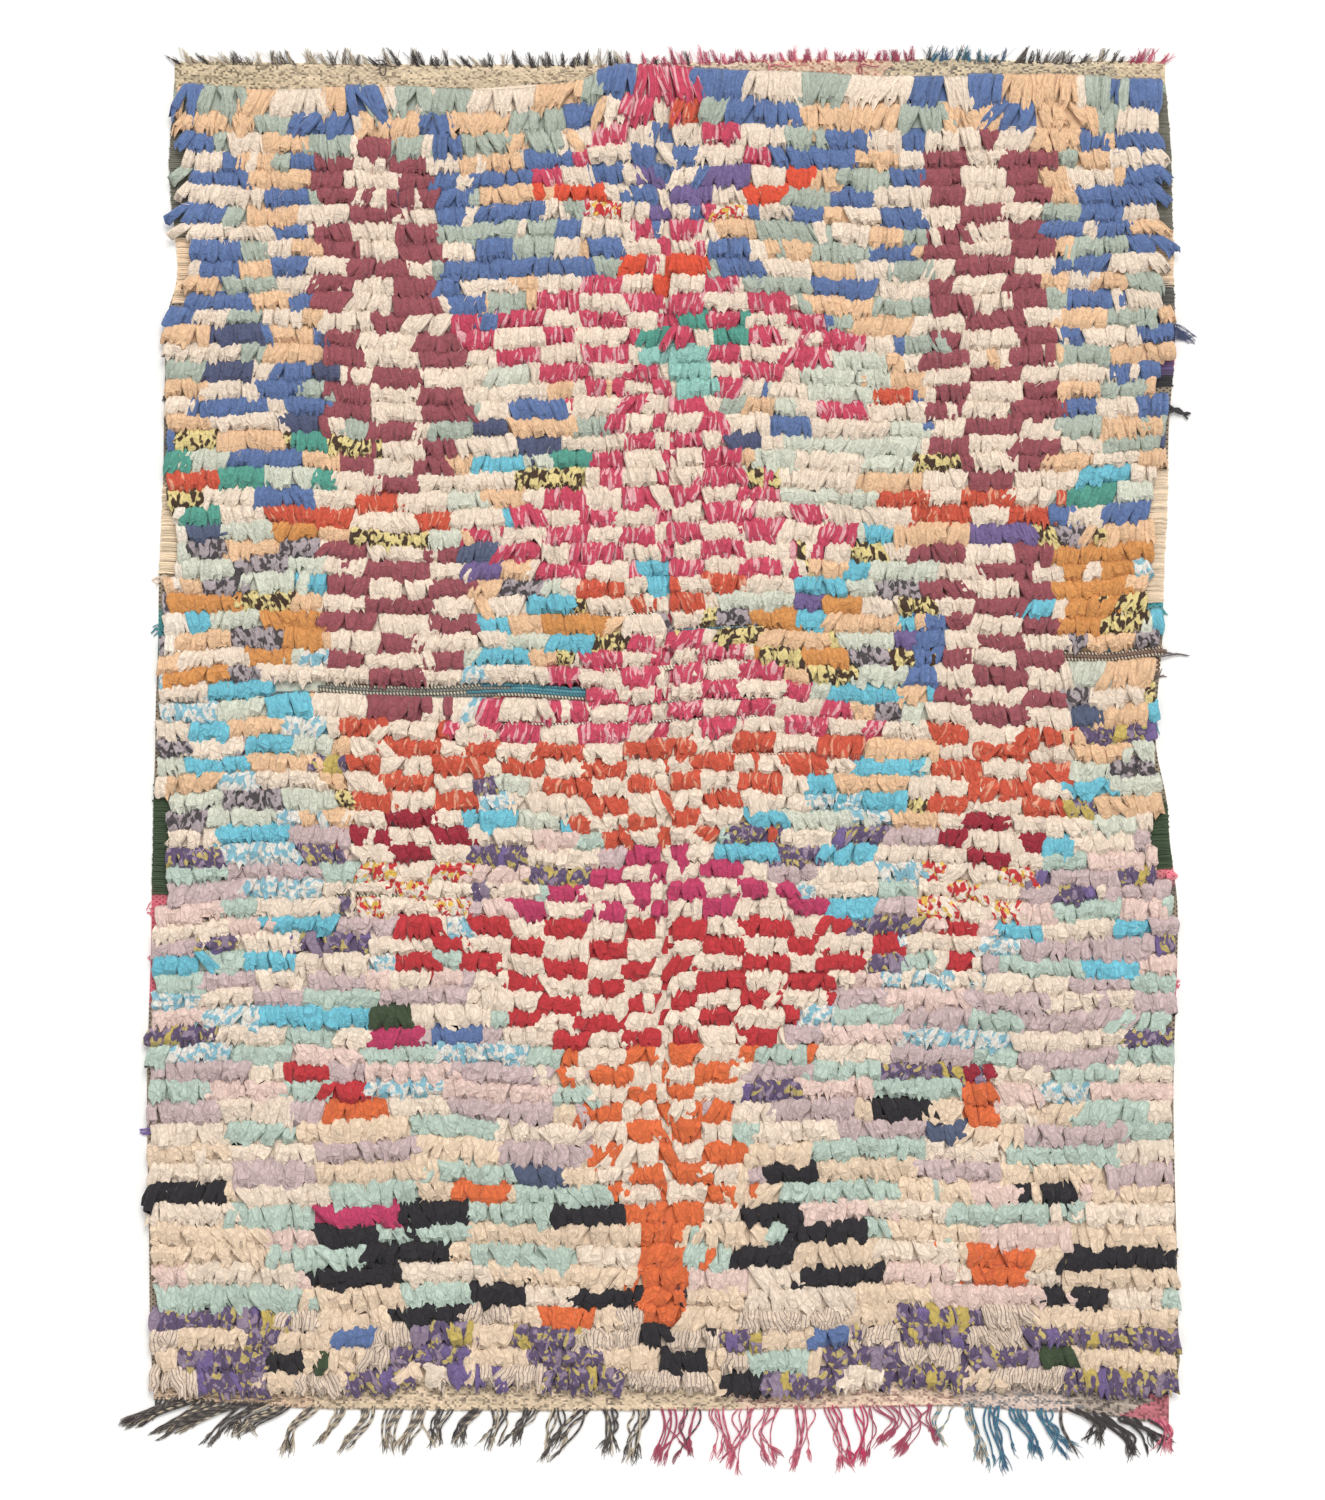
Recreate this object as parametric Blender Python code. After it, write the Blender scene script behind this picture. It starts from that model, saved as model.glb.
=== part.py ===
"""Boucherouite rug: rows of knotted rag strips on a flat-woven ground, with a fringe of warp ends.

The rug lies flat on the floor at Z = 0 with its pile up. Its length runs along Y, with the end
where the weaving began at -Y, and its width along X. The pile leans towards -Y. All sizes are
in metres.
"""

import random
from typing import NamedTuple

import bmesh
import bpy
import numpy as np
from mathutils import Vector

# Driving sizes
GAP = 0.0003  # between the cloth and each fringe
WEAVE = 0.0045  # thickness of the bare ground at the ends and selvages
PILE_HEIGHT = 0.0205  # floor to the crest of a usual row
PILE_TOP = 1.0424  # the first row's root line
SELVAGE = 0.026  # width of the bare stretches at the sides
SELVAGE_STEP = 0.008  # run of the step from the bare ground up to the pile
CREASE = 0.014  # half the width of the trough down the middle
CREASE_FOOT = -0.73  # where the trough runs out, near the bottom
END_STEP = 0.0035  # run of the step from the ends' ground up to the pile
PLAIN_COLUMNS = 3  # grid columns between a selvage and the middle trough

# Shares and unevenness
ROW_END_HEIGHT = 0.66  # of the pile's height, where a row stops at the side
CREASE_HEIGHT = 0.62  # of the pile's height, at the bottom of the middle trough
LUMPS = 0.13  # how far a crest strays from its height, as a share
ROW_END_BULGE = 0.003  # how far a row swells past the ground's edge
WAVE_HEIGHT = 0.0045  # how far a row wanders up and down as it crosses the rug
WAVE_LENGTH = 0.74
WAVE_DRIFT = 2.3  # turn of the wave's phase for each metre down the rug
SEED = 11


class SideSection(NamedTuple):
    """Where the two side edges lie at one height of the rug."""

    y: float
    left: float
    right: float


class EndSection(NamedTuple):
    """Where the two woven ends lie at one place across the rug."""

    x: float
    top: float
    bottom: float


class RowBand(NamedTuple):
    """Rows of pile, from the top down, that share a pitch."""

    rows: int
    pitch: float


class ProfilePoint(NamedTuple):
    """A point of a row's section: its share of the pitch from the root, and of the height."""

    along: float
    height: float


class BareSelvage(NamedTuple):
    """A stretch of side edge that carries no pile. side is -1 on the left and 1 on the right."""

    side: int
    top: float
    bottom: float


class SideLock(NamedTuple):
    """A long loose end at the side: its place, how far it sticks out and how far it sweeps."""

    side: int
    y: float
    reach: float
    sweep: float


class StrandSection(NamedTuple):
    """One section of a lock, as shares of its reach, its root's width and its root's height."""

    along: float
    width: float
    height: float


class FringeBand(NamedTuple):
    """How a fringe lies at one place across the rug: its reach and the tips' sideways shift."""

    x: float
    reach: float
    sweep: float


SIDES = (
    SideSection(1.078, -0.754, 0.780),
    SideSection(0.915, -0.762, 0.790),
    SideSection(0.753, -0.749, 0.793),
    SideSection(0.667, -0.768, 0.796),
    SideSection(0.481, -0.771, 0.785),
    SideSection(0.218, -0.779, 0.777),
    SideSection(0.032, -0.784, 0.765),
    SideSection(-0.092, -0.787, 0.785),
    SideSection(-0.247, -0.790, 0.800),
    SideSection(-0.526, -0.797, 0.793),
    SideSection(-0.836, -0.793, 0.799),
    SideSection(-0.945, -0.790, 0.803),
    SideSection(-1.010, -0.785, 0.778),
)

ENDS = (
    EndSection(-0.785, 1.083, -0.991),
    EndSection(-0.498, 1.080, -1.005),
    EndSection(-0.212, 1.077, -1.008),
    EndSection(0.013, 1.080, -1.007),
    EndSection(0.215, 1.086, -1.004),
    EndSection(0.432, 1.087, -1.001),
    EndSection(0.618, 1.083, -1.008),
    EndSection(0.780, 1.084, -1.026),
)

ROW_BANDS = (
    RowBand(2, 0.0365),
    RowBand(15, 0.0272),
    RowBand(28, 0.0277),
    RowBand(11, 0.0281),
    RowBand(14, 0.0318),
)

ROW_PROFILE = (
    ProfilePoint(0.0, 0.34),
    ProfilePoint(0.30, 0.88),
    ProfilePoint(0.76, 1.0),
)

BARE_SELVAGES = (
    BareSelvage(-1, 1.018, 0.813),
    BareSelvage(-1, 0.419, 0.295),
    BareSelvage(-1, -0.038, -0.201),
    BareSelvage(1, 1.031, 0.705),
    BareSelvage(1, 0.640, 0.585),
    BareSelvage(1, 0.465, 0.250),
    BareSelvage(1, -0.069, -0.162),
)

SIDE_LOCKS = (
    SideLock(-1, 0.283, 0.013, -0.004),
    SideLock(-1, 0.200, 0.012, 0.003),
    SideLock(-1, -0.230, 0.009, -0.004),
    SideLock(-1, -0.571, 0.012, -0.003),
    SideLock(1, 0.660, 0.036, -0.006),
    SideLock(1, 0.548, 0.034, -0.009),
    SideLock(1, 0.163, 0.046, 0.003),
    SideLock(1, 0.134, 0.010, 0.002),
)

ROW_END_SECTIONS = (StrandSection(1.0, 0.55, 0.5),)
ROW_END_REACH = (0.002, 0.007)

LONG_LOCK_SECTIONS = (
    StrandSection(0.35, 0.50, 0.42),
    StrandSection(0.75, 0.42, 0.28),
    StrandSection(1.0, 0.20, 0.16),
)

# The fringes: a narrow strip along each woven end, and the warp ends that leave it
STRIP = 0.004
FRINGE_THICKNESS = 0.0045
FRINGE_MARGIN = 0.010

TOP_STRANDS = 96
TOP_STRAND_WIDTH = 0.0038
TOP_FRINGE = (
    FringeBand(-0.754, 0.021, -0.034),
    FringeBand(-0.640, 0.020, -0.012),
    FringeBand(-0.300, 0.026, -0.006),
    FringeBand(0.300, 0.026, -0.003),
    FringeBand(0.640, 0.019, 0.004),
    FringeBand(0.780, 0.026, 0.016),
)
TOP_SECTIONS = (StrandSection(0.55, 0.85, 0.9), StrandSection(1.0, 0.30, 0.5))
TOP_TIP_SPREAD = 0.0035
TOP_REACH_SPREAD = 0.30

BOTTOM_BUNCHES = 25
STRANDS_IN_BUNCH = 3
BUNCH_DRAW = 0.52  # how far the tips of a bunch draw together, as a share
BOTTOM_STRAND_WIDTH = 0.0052
BOTTOM_FRINGE = (
    FringeBand(-0.785, 0.040, -0.047),
    FringeBand(-0.700, 0.050, -0.040),
    FringeBand(-0.610, 0.062, -0.022),
    FringeBand(-0.450, 0.068, -0.012),
    FringeBand(0.000, 0.074, -0.006),
    FringeBand(0.250, 0.092, 0.004),
    FringeBand(0.430, 0.098, 0.007),
    FringeBand(0.640, 0.096, 0.016),
    FringeBand(0.780, 0.078, 0.012),
)
BOTTOM_SECTIONS = (
    StrandSection(0.38, 0.90, 1.0),
    StrandSection(0.74, 1.15, 1.0),
    StrandSection(1.0, 0.35, 0.5),
)
BOTTOM_REACH_SPREAD = 0.13


def clear_scene():
    """Removes the scene's objects."""
    for obj in list(bpy.context.scene.objects):
        bpy.data.objects.remove(obj, do_unlink=True)


def new_collection(name):
    """Adds a collection to the scene."""
    collection = bpy.data.collections.new(name)
    bpy.context.scene.collection.children.link(collection)
    return collection


def cloth_material(name, color, roughness):
    """A plain matt cloth."""
    material = bpy.data.materials.new(name)
    material.use_nodes = True
    material.diffuse_color = (*color, 1.0)
    shader = material.node_tree.nodes["Principled BSDF"]
    shader.inputs["Base Color"].default_value = (*color, 1.0)
    shader.inputs["Roughness"].default_value = roughness
    shader.inputs["Metallic"].default_value = 0.0
    return material


def face_outwards(bm):
    """Turns every face outwards, once its vertices are in place."""
    bm.normal_update()
    bmesh.ops.recalc_face_normals(bm, faces=bm.faces[:])
    bm.normal_update()


def add_object(bm, name, material, collection):
    """Turns a finished bmesh into an object that shades smooth but for its sharp edges."""
    face_outwards(bm)
    mesh = bpy.data.meshes.new(name)
    bm.to_mesh(mesh)
    bm.free()
    mesh.materials.append(material)
    mesh.shade_smooth()
    mesh.set_sharp_from_angle(angle=np.radians(50))
    obj = bpy.data.objects.new(name, mesh)
    collection.objects.link(obj)
    return obj


def eased(at, places, values):
    """Reads a table at a place, easing in and out between its sections."""
    order = np.argsort(places)
    places, values = np.asarray(places)[order], np.asarray(values)[order]
    at = np.clip(at, places[0], places[-1])
    right = np.clip(np.searchsorted(places, at, side="right"), 1, len(places) - 1)
    share = (at - places[right - 1]) / (places[right] - places[right - 1])
    share = share * share * (3.0 - 2.0 * share)
    return values[right - 1] + share * (values[right] - values[right - 1])


def side_edge(side, y):
    """X of the left (-1) or right (1) edge at a height of the rug."""
    values = [section.left if side < 0 else section.right for section in SIDES]
    return eased(y, [section.y for section in SIDES], values)


def end_edge(end, x):
    """Y of the bottom (-1) or top (1) woven end at a place across the rug."""
    values = [section.bottom if end < 0 else section.top for section in ENDS]
    return eased(x, [section.x for section in ENDS], values)


def column_shares():
    """The grid's columns, as shares of the width: close at the selvages and the middle."""
    width = SIDES[0].right - SIDES[0].left
    inner, middle = (SELVAGE + SELVAGE_STEP) / width, 0.5 - CREASE / width
    half = [0.0, SELVAGE / width, *np.linspace(inner, middle, PLAIN_COLUMNS + 2)]
    return np.array([*half, 0.5, *(1.0 - share for share in reversed(half))])


def row_lines():
    """Y and share of the pile's height for each grid line of the pile, from the top down."""
    lines = []
    root = PILE_TOP
    for band in ROW_BANDS:
        for _ in range(band.rows):
            lines += [(root - point.along * band.pitch, point.height) for point in ROW_PROFILE]
            root -= band.pitch
    return lines, root


def wander(x, y):
    """How far a row strays from a straight line where it crosses x."""
    turn = 2.0 * np.pi * x / WAVE_LENGTH
    return WAVE_HEIGHT * (np.sin(turn + WAVE_DRIFT * y) + 0.5 * np.sin(2.1 * turn - 2.0 * y))


def is_bare(side, y):
    """Whether the side edge carries no pile at this height of the rug."""
    return any(s.side == side and s.bottom <= y <= s.top for s in BARE_SELVAGES)


def surface_points():
    """The top surface as a grid of points: rows of pile between two bare ends.

    Each row of pile is a roll that rises from its root line and drops sharply at its lower
    side. Heights vary from place to place by a share LUMPS.
    """
    pile, last_root = row_lines()
    shares = column_shares()
    ys = np.array([PILE_TOP + END_STEP, *(y for y, _ in pile), last_root - END_STEP])
    heights = np.array([0.0, *(height for _, height in pile), 0.0])
    left, right = side_edge(-1, ys)[:, None], side_edge(1, ys)[:, None]
    x = left + (right - left) * shares
    y = ys[:, None] + wander(x, ys[:, None])
    lumps = np.random.default_rng(SEED).uniform(-LUMPS, LUMPS, x.shape)
    z = np.maximum(PILE_HEIGHT * heights[:, None] * (1.0 + lumps), WEAVE)
    crested = heights > ROW_PROFILE[0].height
    for side, edge, inner in ((-1, 0, 1), (1, -1, -2)):
        bare = np.array([is_bare(side, at) for at in ys])
        z[~bare, edge] = np.maximum(z[~bare, edge] * ROW_END_HEIGHT, WEAVE)
        x[crested & ~bare, edge] += side * ROW_END_BULGE
        z[bare, edge] = WEAVE
        z[bare, inner] = WEAVE
    creased, middle = ys > CREASE_FOOT, len(shares) // 2
    z[creased, middle] = np.maximum(z[creased, middle] * CREASE_HEIGHT, WEAVE)
    ground = np.full(len(shares), WEAVE)
    y = np.vstack([end_edge(1, x[0]), y, end_edge(-1, x[-1])])
    x = np.vstack([x[0], x, x[-1]])
    z = np.vstack([ground, z, ground])
    return np.stack([x, y, z], axis=-1)


def grid_of(bm, points):
    """Lays a primitive grid over the given points and returns its vertices by line and column."""
    lines, columns = points.shape[:2]
    bmesh.ops.create_grid(bm, x_segments=columns - 1, y_segments=lines - 1, size=0.5)
    verts = {}
    for vert in bm.verts:
        column = round((vert.co.x + 0.5) * (columns - 1))
        line = round((0.5 - vert.co.y) * (lines - 1))
        verts[line, column] = vert
        vert.co = Vector(points[line, column])
    return verts


def drop_skirt(bm):
    """Walls the open grid down to the floor and closes it underneath with one flat face."""
    rim = [edge for edge in bm.edges if edge.is_boundary]
    made = bmesh.ops.extrude_edge_only(bm, edges=rim)["geom"]
    for vert in made:
        if isinstance(vert, bmesh.types.BMVert):
            vert.co.z = 0.0
    foot = [edge for edge in made if isinstance(edge, bmesh.types.BMEdge) and edge.is_boundary]
    bmesh.ops.contextual_create(bm, geom=foot)


def grow_lock(bm, face, out, sections, reach, sweep, width=None, height=None):
    """Draws a side wall's face out into a lock that rests on the floor and narrows to its tip.

    The tip ends `reach` from the wall along `out`, shifted sideways by `sweep` in a curve that
    starts straight.
    """
    aside = Vector((out.y, -out.x, 0.0))
    root = face.calc_center_median()
    half = width / 2 if width else max(abs((v.co - root).dot(aside)) for v in face.verts)
    tall = height or max(vert.co.z for vert in face.verts)
    for section in sections:
        middle = face.calc_center_median()
        face = bmesh.ops.extrude_discrete_faces(bm, faces=[face])["faces"][0]
        centre = root + out * (reach * section.along) + aside * (sweep * section.along**2)
        for vert in face.verts:
            hand = 1.0 if (vert.co - middle).dot(aside) > 0 else -1.0
            is_top = vert.co.z > 0.0
            vert.co = centre + aside * (hand * half * section.width)
            vert.co.z = tall * section.height if is_top else 0.0


def wall_face(corner, next_corner):
    """The wall face that hangs from the edge between two corners of the grid's rim."""
    edge = next(e for e in corner.link_edges if e.other_vert(corner) is next_corner)
    return min(edge.link_faces, key=lambda face: face.calc_center_median().z)


def add_side_locks(bm, verts, points):
    """Draws out the end of each row of pile: short rag ends, and a few long loose ones."""
    rng = random.Random(SEED)
    crest = len(ROW_PROFILE) - 1
    first_crests = range(1 + crest, points.shape[0] - 2, len(ROW_PROFILE))
    for side, column in ((-1, 0), (1, points.shape[1] - 1)):
        out = Vector((side, 0.0, 0.0))
        ys = {line: points[line, column, 1] for line in first_crests}
        long_ones = {
            min(ys, key=lambda line: abs(ys[line] - lock.y)): lock
            for lock in SIDE_LOCKS
            if lock.side == side
        }
        for line, y in ys.items():
            reach = rng.uniform(*ROW_END_REACH)
            face = wall_face(verts[line, column], verts[line + 1, column])
            if line in long_ones:
                lock = long_ones[line]
                sweep = -side * lock.sweep
                grow_lock(bm, face, out, LONG_LOCK_SECTIONS, lock.reach, sweep)
            elif not is_bare(side, y):
                grow_lock(bm, face, out, ROW_END_SECTIONS, reach, 0.0)


def build_rug(collection):
    """The cloth with its pile: one lumpy slab, flat underneath."""
    points = surface_points()
    bm = bmesh.new()
    verts = grid_of(bm, points)
    drop_skirt(bm)
    add_side_locks(bm, verts, points)
    return add_object(bm, "rug", cloth_material("rag_pile", (0.74, 0.60, 0.50), 0.9), collection)


def end_line(points, end):
    """The cloth's woven end as a line of X and Y, left to right, in from its corners."""
    return points[0 if end > 0 else -1, :, :2]


def strand_roots(line, count, width):
    """X of both sides of each strand's root, spread evenly along a woven end."""
    first, last = line[0, 0] + FRINGE_MARGIN, line[-1, 0] - FRINGE_MARGIN
    middles = np.linspace(first, last, count)
    return middles, np.stack([middles - width / 2, middles + width / 2], axis=1)


def build_strip(bm, line, roots, end):
    """A narrow flat strip beside a woven end. Its outer side is stepped at each strand's root."""
    inner = [(x, y + end * GAP) for x, y in line]
    ends = (line[0, 0], line[-1, 0])
    xs = [ends[0], *roots.ravel(), ends[1]]
    outer = [(x, np.interp(x, line[:, 0], line[:, 1]) + end * (GAP + STRIP)) for x in xs]
    corners = [bm.verts.new((x, y, 0.0)) for x, y in inner + outer[::-1]]
    outline = [bm.edges.new(pair) for pair in zip(corners, corners[1:] + corners[:1])]
    foot = bmesh.ops.contextual_create(bm, geom=outline)["faces"]
    raised = bmesh.ops.extrude_face_region(bm, geom=foot)["geom"]
    for vert in raised:
        if isinstance(vert, bmesh.types.BMVert):
            vert.co.z = FRINGE_THICKNESS
    face_outwards(bm)


def root_faces(bm, middles, end):
    """The strip's outer wall faces that strands leave from, left to right."""
    walls = [face for face in bm.faces if abs(face.normal.z) < 0.5 and face.normal.y * end > 0.5]
    return [min(walls, key=lambda f: abs(f.calc_center_median().x - x)) for x in middles]


def band_value(bands, field, x):
    """Reads one column of a fringe's table at a place across the rug."""
    return float(eased(x, [band.x for band in bands], [getattr(band, field) for band in bands]))


def build_top_fringe(points, collection):
    """Short frayed warp ends along the top, each on its own."""
    rng = random.Random(SEED + 1)
    line = end_line(points, 1)
    middles, roots = strand_roots(line, TOP_STRANDS, TOP_STRAND_WIDTH)
    bm = bmesh.new()
    build_strip(bm, line, roots, 1)
    for x, face in zip(middles, root_faces(bm, middles, 1)):
        reach = band_value(TOP_FRINGE, "reach", x) * rng.uniform(1 - TOP_REACH_SPREAD, 1.0)
        sweep = band_value(TOP_FRINGE, "sweep", x) + rng.uniform(-1, 1) * TOP_TIP_SPREAD
        out = Vector((0.0, 1.0, 0.0))
        grow_lock(bm, face, out, TOP_SECTIONS, reach, sweep, TOP_STRAND_WIDTH, FRINGE_THICKNESS)
    material = cloth_material("warp_ends_top", (0.30, 0.22, 0.20), 0.85)
    return add_object(bm, "fringe_top", material, collection)


def build_bottom_fringe(points, collection):
    """Longer warp ends along the bottom, whose tips draw together in bunches."""
    rng = random.Random(SEED + 2)
    line = end_line(points, -1)
    count = BOTTOM_BUNCHES * STRANDS_IN_BUNCH
    middles, roots = strand_roots(line, count, BOTTOM_STRAND_WIDTH)
    bm = bmesh.new()
    build_strip(bm, line, roots, -1)
    bunches = middles.reshape(BOTTOM_BUNCHES, STRANDS_IN_BUNCH).mean(axis=1)
    out = Vector((0.0, -1.0, 0.0))
    for number, face in enumerate(root_faces(bm, middles, -1)):
        x, bunch = middles[number], bunches[number // STRANDS_IN_BUNCH]
        reach = band_value(BOTTOM_FRINGE, "reach", x) * rng.uniform(1 - BOTTOM_REACH_SPREAD, 1.0)
        shift = band_value(BOTTOM_FRINGE, "sweep", bunch) + (bunch - x) * BUNCH_DRAW
        grow_lock(
            bm, face, out, BOTTOM_SECTIONS, reach, -shift, BOTTOM_STRAND_WIDTH, FRINGE_THICKNESS
        )
    material = cloth_material("warp_ends_bottom", (0.36, 0.24, 0.26), 0.85)
    return add_object(bm, "fringe_bottom", material, collection)


def centre_on_floor(objects):
    """Moves the meshes so that the middle of their common box stands on the origin."""
    corners = np.array([vert.co for obj in objects for vert in obj.data.vertices])
    middle = (corners.min(axis=0) + corners.max(axis=0)) / 2
    for obj in objects:
        for vert in obj.data.vertices:
            vert.co.x -= middle[0]
            vert.co.y -= middle[1]


def main():
    clear_scene()
    collection = new_collection("boucherouite_rug")
    points = surface_points()
    pieces = [build_rug(collection)]
    pieces.append(build_top_fringe(points, collection))
    pieces.append(build_bottom_fringe(points, collection))
    centre_on_floor(pieces)


main()
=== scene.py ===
"""Boucherouite rug, dressed: knotted rag strips in rows, woven ground, yarn fringes and loose ends.

Sizes are in metres. Places across and along the rug are measured from the middle of its cloth
(+X to the right, +Y to the end with the short fringe) and moved onto the frame by CLOTH_MIDDLE.
The pattern is worked out in rows of knots from the top and knots from the middle crease.
"""

import logging
from collections.abc import Sequence
from dataclasses import dataclass, field
from enum import Enum

import bpy
import numpy as np
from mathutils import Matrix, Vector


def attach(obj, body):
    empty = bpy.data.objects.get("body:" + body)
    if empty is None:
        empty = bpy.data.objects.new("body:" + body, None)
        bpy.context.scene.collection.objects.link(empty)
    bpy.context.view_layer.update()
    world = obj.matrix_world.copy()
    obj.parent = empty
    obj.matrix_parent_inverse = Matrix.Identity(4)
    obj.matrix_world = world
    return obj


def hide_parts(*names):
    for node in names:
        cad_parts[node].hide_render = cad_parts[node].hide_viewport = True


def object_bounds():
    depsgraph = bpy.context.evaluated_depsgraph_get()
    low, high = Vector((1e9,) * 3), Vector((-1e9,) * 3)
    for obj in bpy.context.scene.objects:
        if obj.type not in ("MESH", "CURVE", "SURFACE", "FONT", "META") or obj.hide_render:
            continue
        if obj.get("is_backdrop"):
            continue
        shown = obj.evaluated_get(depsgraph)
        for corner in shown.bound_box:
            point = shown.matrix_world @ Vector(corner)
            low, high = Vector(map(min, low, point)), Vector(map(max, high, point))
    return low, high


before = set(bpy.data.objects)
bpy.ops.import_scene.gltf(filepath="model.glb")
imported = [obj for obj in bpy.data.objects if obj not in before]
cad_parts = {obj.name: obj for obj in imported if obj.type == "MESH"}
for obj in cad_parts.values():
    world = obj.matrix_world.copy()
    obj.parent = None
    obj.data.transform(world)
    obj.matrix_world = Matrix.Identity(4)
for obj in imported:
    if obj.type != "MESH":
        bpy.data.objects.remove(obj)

LOG = logging.getLogger("boucherouite_rug")
Color = tuple[int, int, int]
BODY = "root"

# The cloth as a whole
CLOTH_MIDDLE = (-0.0108, -0.0024)
CLOTH_SIZE = (1.56, 2.09)
WEAVE = 0.0045
PILE_HEIGHT = 0.0205
PILE_TOP = 1.0424
SELVAGE = 0.026
CREASE_X = 0.010
CREASE_HALF = 0.0075
CREASE_FOOT = -0.73
CREASE_DEPTH = 0.78

# How the first rows lie further up from the middle to the right
LIFT_ROWS = (0.0, 1.0, 2.0, 3.0, 4.0, 5.0, 6.0)
LIFTS = (0.0270, 0.0230, 0.0180, 0.0125, 0.0070, 0.0030, 0.0)
LIFT_PLACES = (-0.150, -0.060, 0.360, 0.600)
LIFT_SHARES = (0.0, 1.0, 0.85, 0.35)

# How the rows wander as they cross the rug
WAVE_HEIGHT = 0.0045
WAVE_LENGTH = 0.74
WAVE_DRIFT = 2.3
SEED = 11


class Side(Enum):
    """Left or right, or bottom or top: the sign of the axis that points there."""

    LOW = -1
    HIGH = 1


@dataclass(frozen=True)
class SideSection:
    """Where the two side edges lie at one height of the rug."""

    y: float
    left: float
    right: float


@dataclass(frozen=True)
class EndSection:
    """Where the two woven ends lie at one place across the rug."""

    x: float
    top: float
    bottom: float


@dataclass(frozen=True)
class RowBand:
    """Rows of pile, from the top down, that share a pitch."""

    rows: int
    pitch: float


SIDES = tuple(SideSection(*one) for one in (
    (1.078, -0.754, 0.780), (0.915, -0.762, 0.790), (0.753, -0.749, 0.793), (0.667, -0.768, 0.796),
    (0.481, -0.771, 0.785), (0.218, -0.779, 0.777), (0.032, -0.784, 0.765),
    (-0.092, -0.787, 0.785), (-0.247, -0.790, 0.800), (-0.526, -0.797, 0.793),
    (-0.836, -0.793, 0.799), (-0.945, -0.790, 0.803), (-1.010, -0.785, 0.778),
))

ENDS = tuple(EndSection(*one) for one in (
    (-0.785, 1.083, -0.991), (-0.498, 1.080, -1.005), (-0.212, 1.077, -1.008),
    (0.013, 1.080, -1.007), (0.215, 1.086, -1.004), (0.432, 1.087, -1.001), (0.618, 1.083, -1.008),
    (0.780, 1.084, -1.026),
))

ROW_BANDS = tuple(RowBand(*one) for one in (
    (2, 0.0365), (15, 0.0272), (28, 0.0277), (11, 0.0281), (14, 0.0318),
))
ROWS = sum(band.rows for band in ROW_BANDS)
KNOTS = 133
MIDDLE_KNOT = KNOTS // 2
KNOT_PITCH = 0.01178


def eased(at: np.ndarray, places: Sequence[float], values: Sequence[float]) -> np.ndarray:
    """Reads a table at some places, easing in and out between its sections.

    Args:
        at: the places to read.
        places: where the table's sections are, in any order.
        values: the table's value at each section.

    Returns:
        The value at each place. Between two sections it is v0 + s * (v1 - v0), where
        s = 3t^2 - 2t^3 and t is the share of the way from one to the next.
    """
    order = np.argsort(places)
    known, level = np.asarray(places, float)[order], np.asarray(values, float)[order]
    at = np.clip(at, known[0], known[-1])
    right = np.clip(np.searchsorted(known, at, side="right"), 1, len(known) - 1)
    share = (at - known[right - 1]) / (known[right] - known[right - 1])
    share = share * share * (3.0 - 2.0 * share)
    return level[right - 1] + share * (level[right] - level[right - 1])


def chance(offset: int) -> np.random.Generator:
    """A source of chance of its own for each offset from the seed."""
    return np.random.default_rng(SEED + offset)


def spread(count: int) -> np.ndarray:
    """Shares from 0 to 1, as one line of so many."""
    return np.linspace(0.0, 1.0, count)[None]


def bell(away: np.ndarray, width: float) -> np.ndarray:
    """A bump that falls from 1 to both sides as exp(-(away / width)^2)."""
    return np.exp(-((away / width) ** 2))


def between(value: np.ndarray, low: float, high: float) -> np.ndarray:
    """True where a value lies between two limits."""
    return (value > low) & (value < high)


def in_knots(x: np.ndarray) -> np.ndarray:
    """Places across the rug, counted in knots from the crease."""
    return (x - CREASE_X) / KNOT_PITCH


def side_edge(side: Side, y: np.ndarray) -> np.ndarray:
    """X of one side edge at heights of the rug, eased between the sections of SIDES."""
    values = [s.left if side is Side.LOW else s.right for s in SIDES]
    return eased(y, [s.y for s in SIDES], values)


def end_edge(end: Side, x: np.ndarray) -> np.ndarray:
    """Y of one woven end at places across the rug, eased between the sections of ENDS."""
    values = [s.bottom if end is Side.LOW else s.top for s in ENDS]
    return eased(x, [s.x for s in ENDS], values)


def wander(x: np.ndarray, y: np.ndarray) -> np.ndarray:
    """How far a row strays: two sine waves along X whose phase turns with Y."""
    turn = 2.0 * np.pi * x / WAVE_LENGTH
    return WAVE_HEIGHT * (np.sin(turn + WAVE_DRIFT * y) + 0.5 * np.sin(2.1 * turn - 2.0 * y))


def row_lift(x: np.ndarray, row: np.ndarray) -> np.ndarray:
    """How much further up the first rows lie: LIFTS by row times LIFT_SHARES by place."""
    at = np.asarray(row, float)
    return eased(at, LIFT_ROWS, LIFTS) * eased(x, LIFT_PLACES, LIFT_SHARES)


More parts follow.
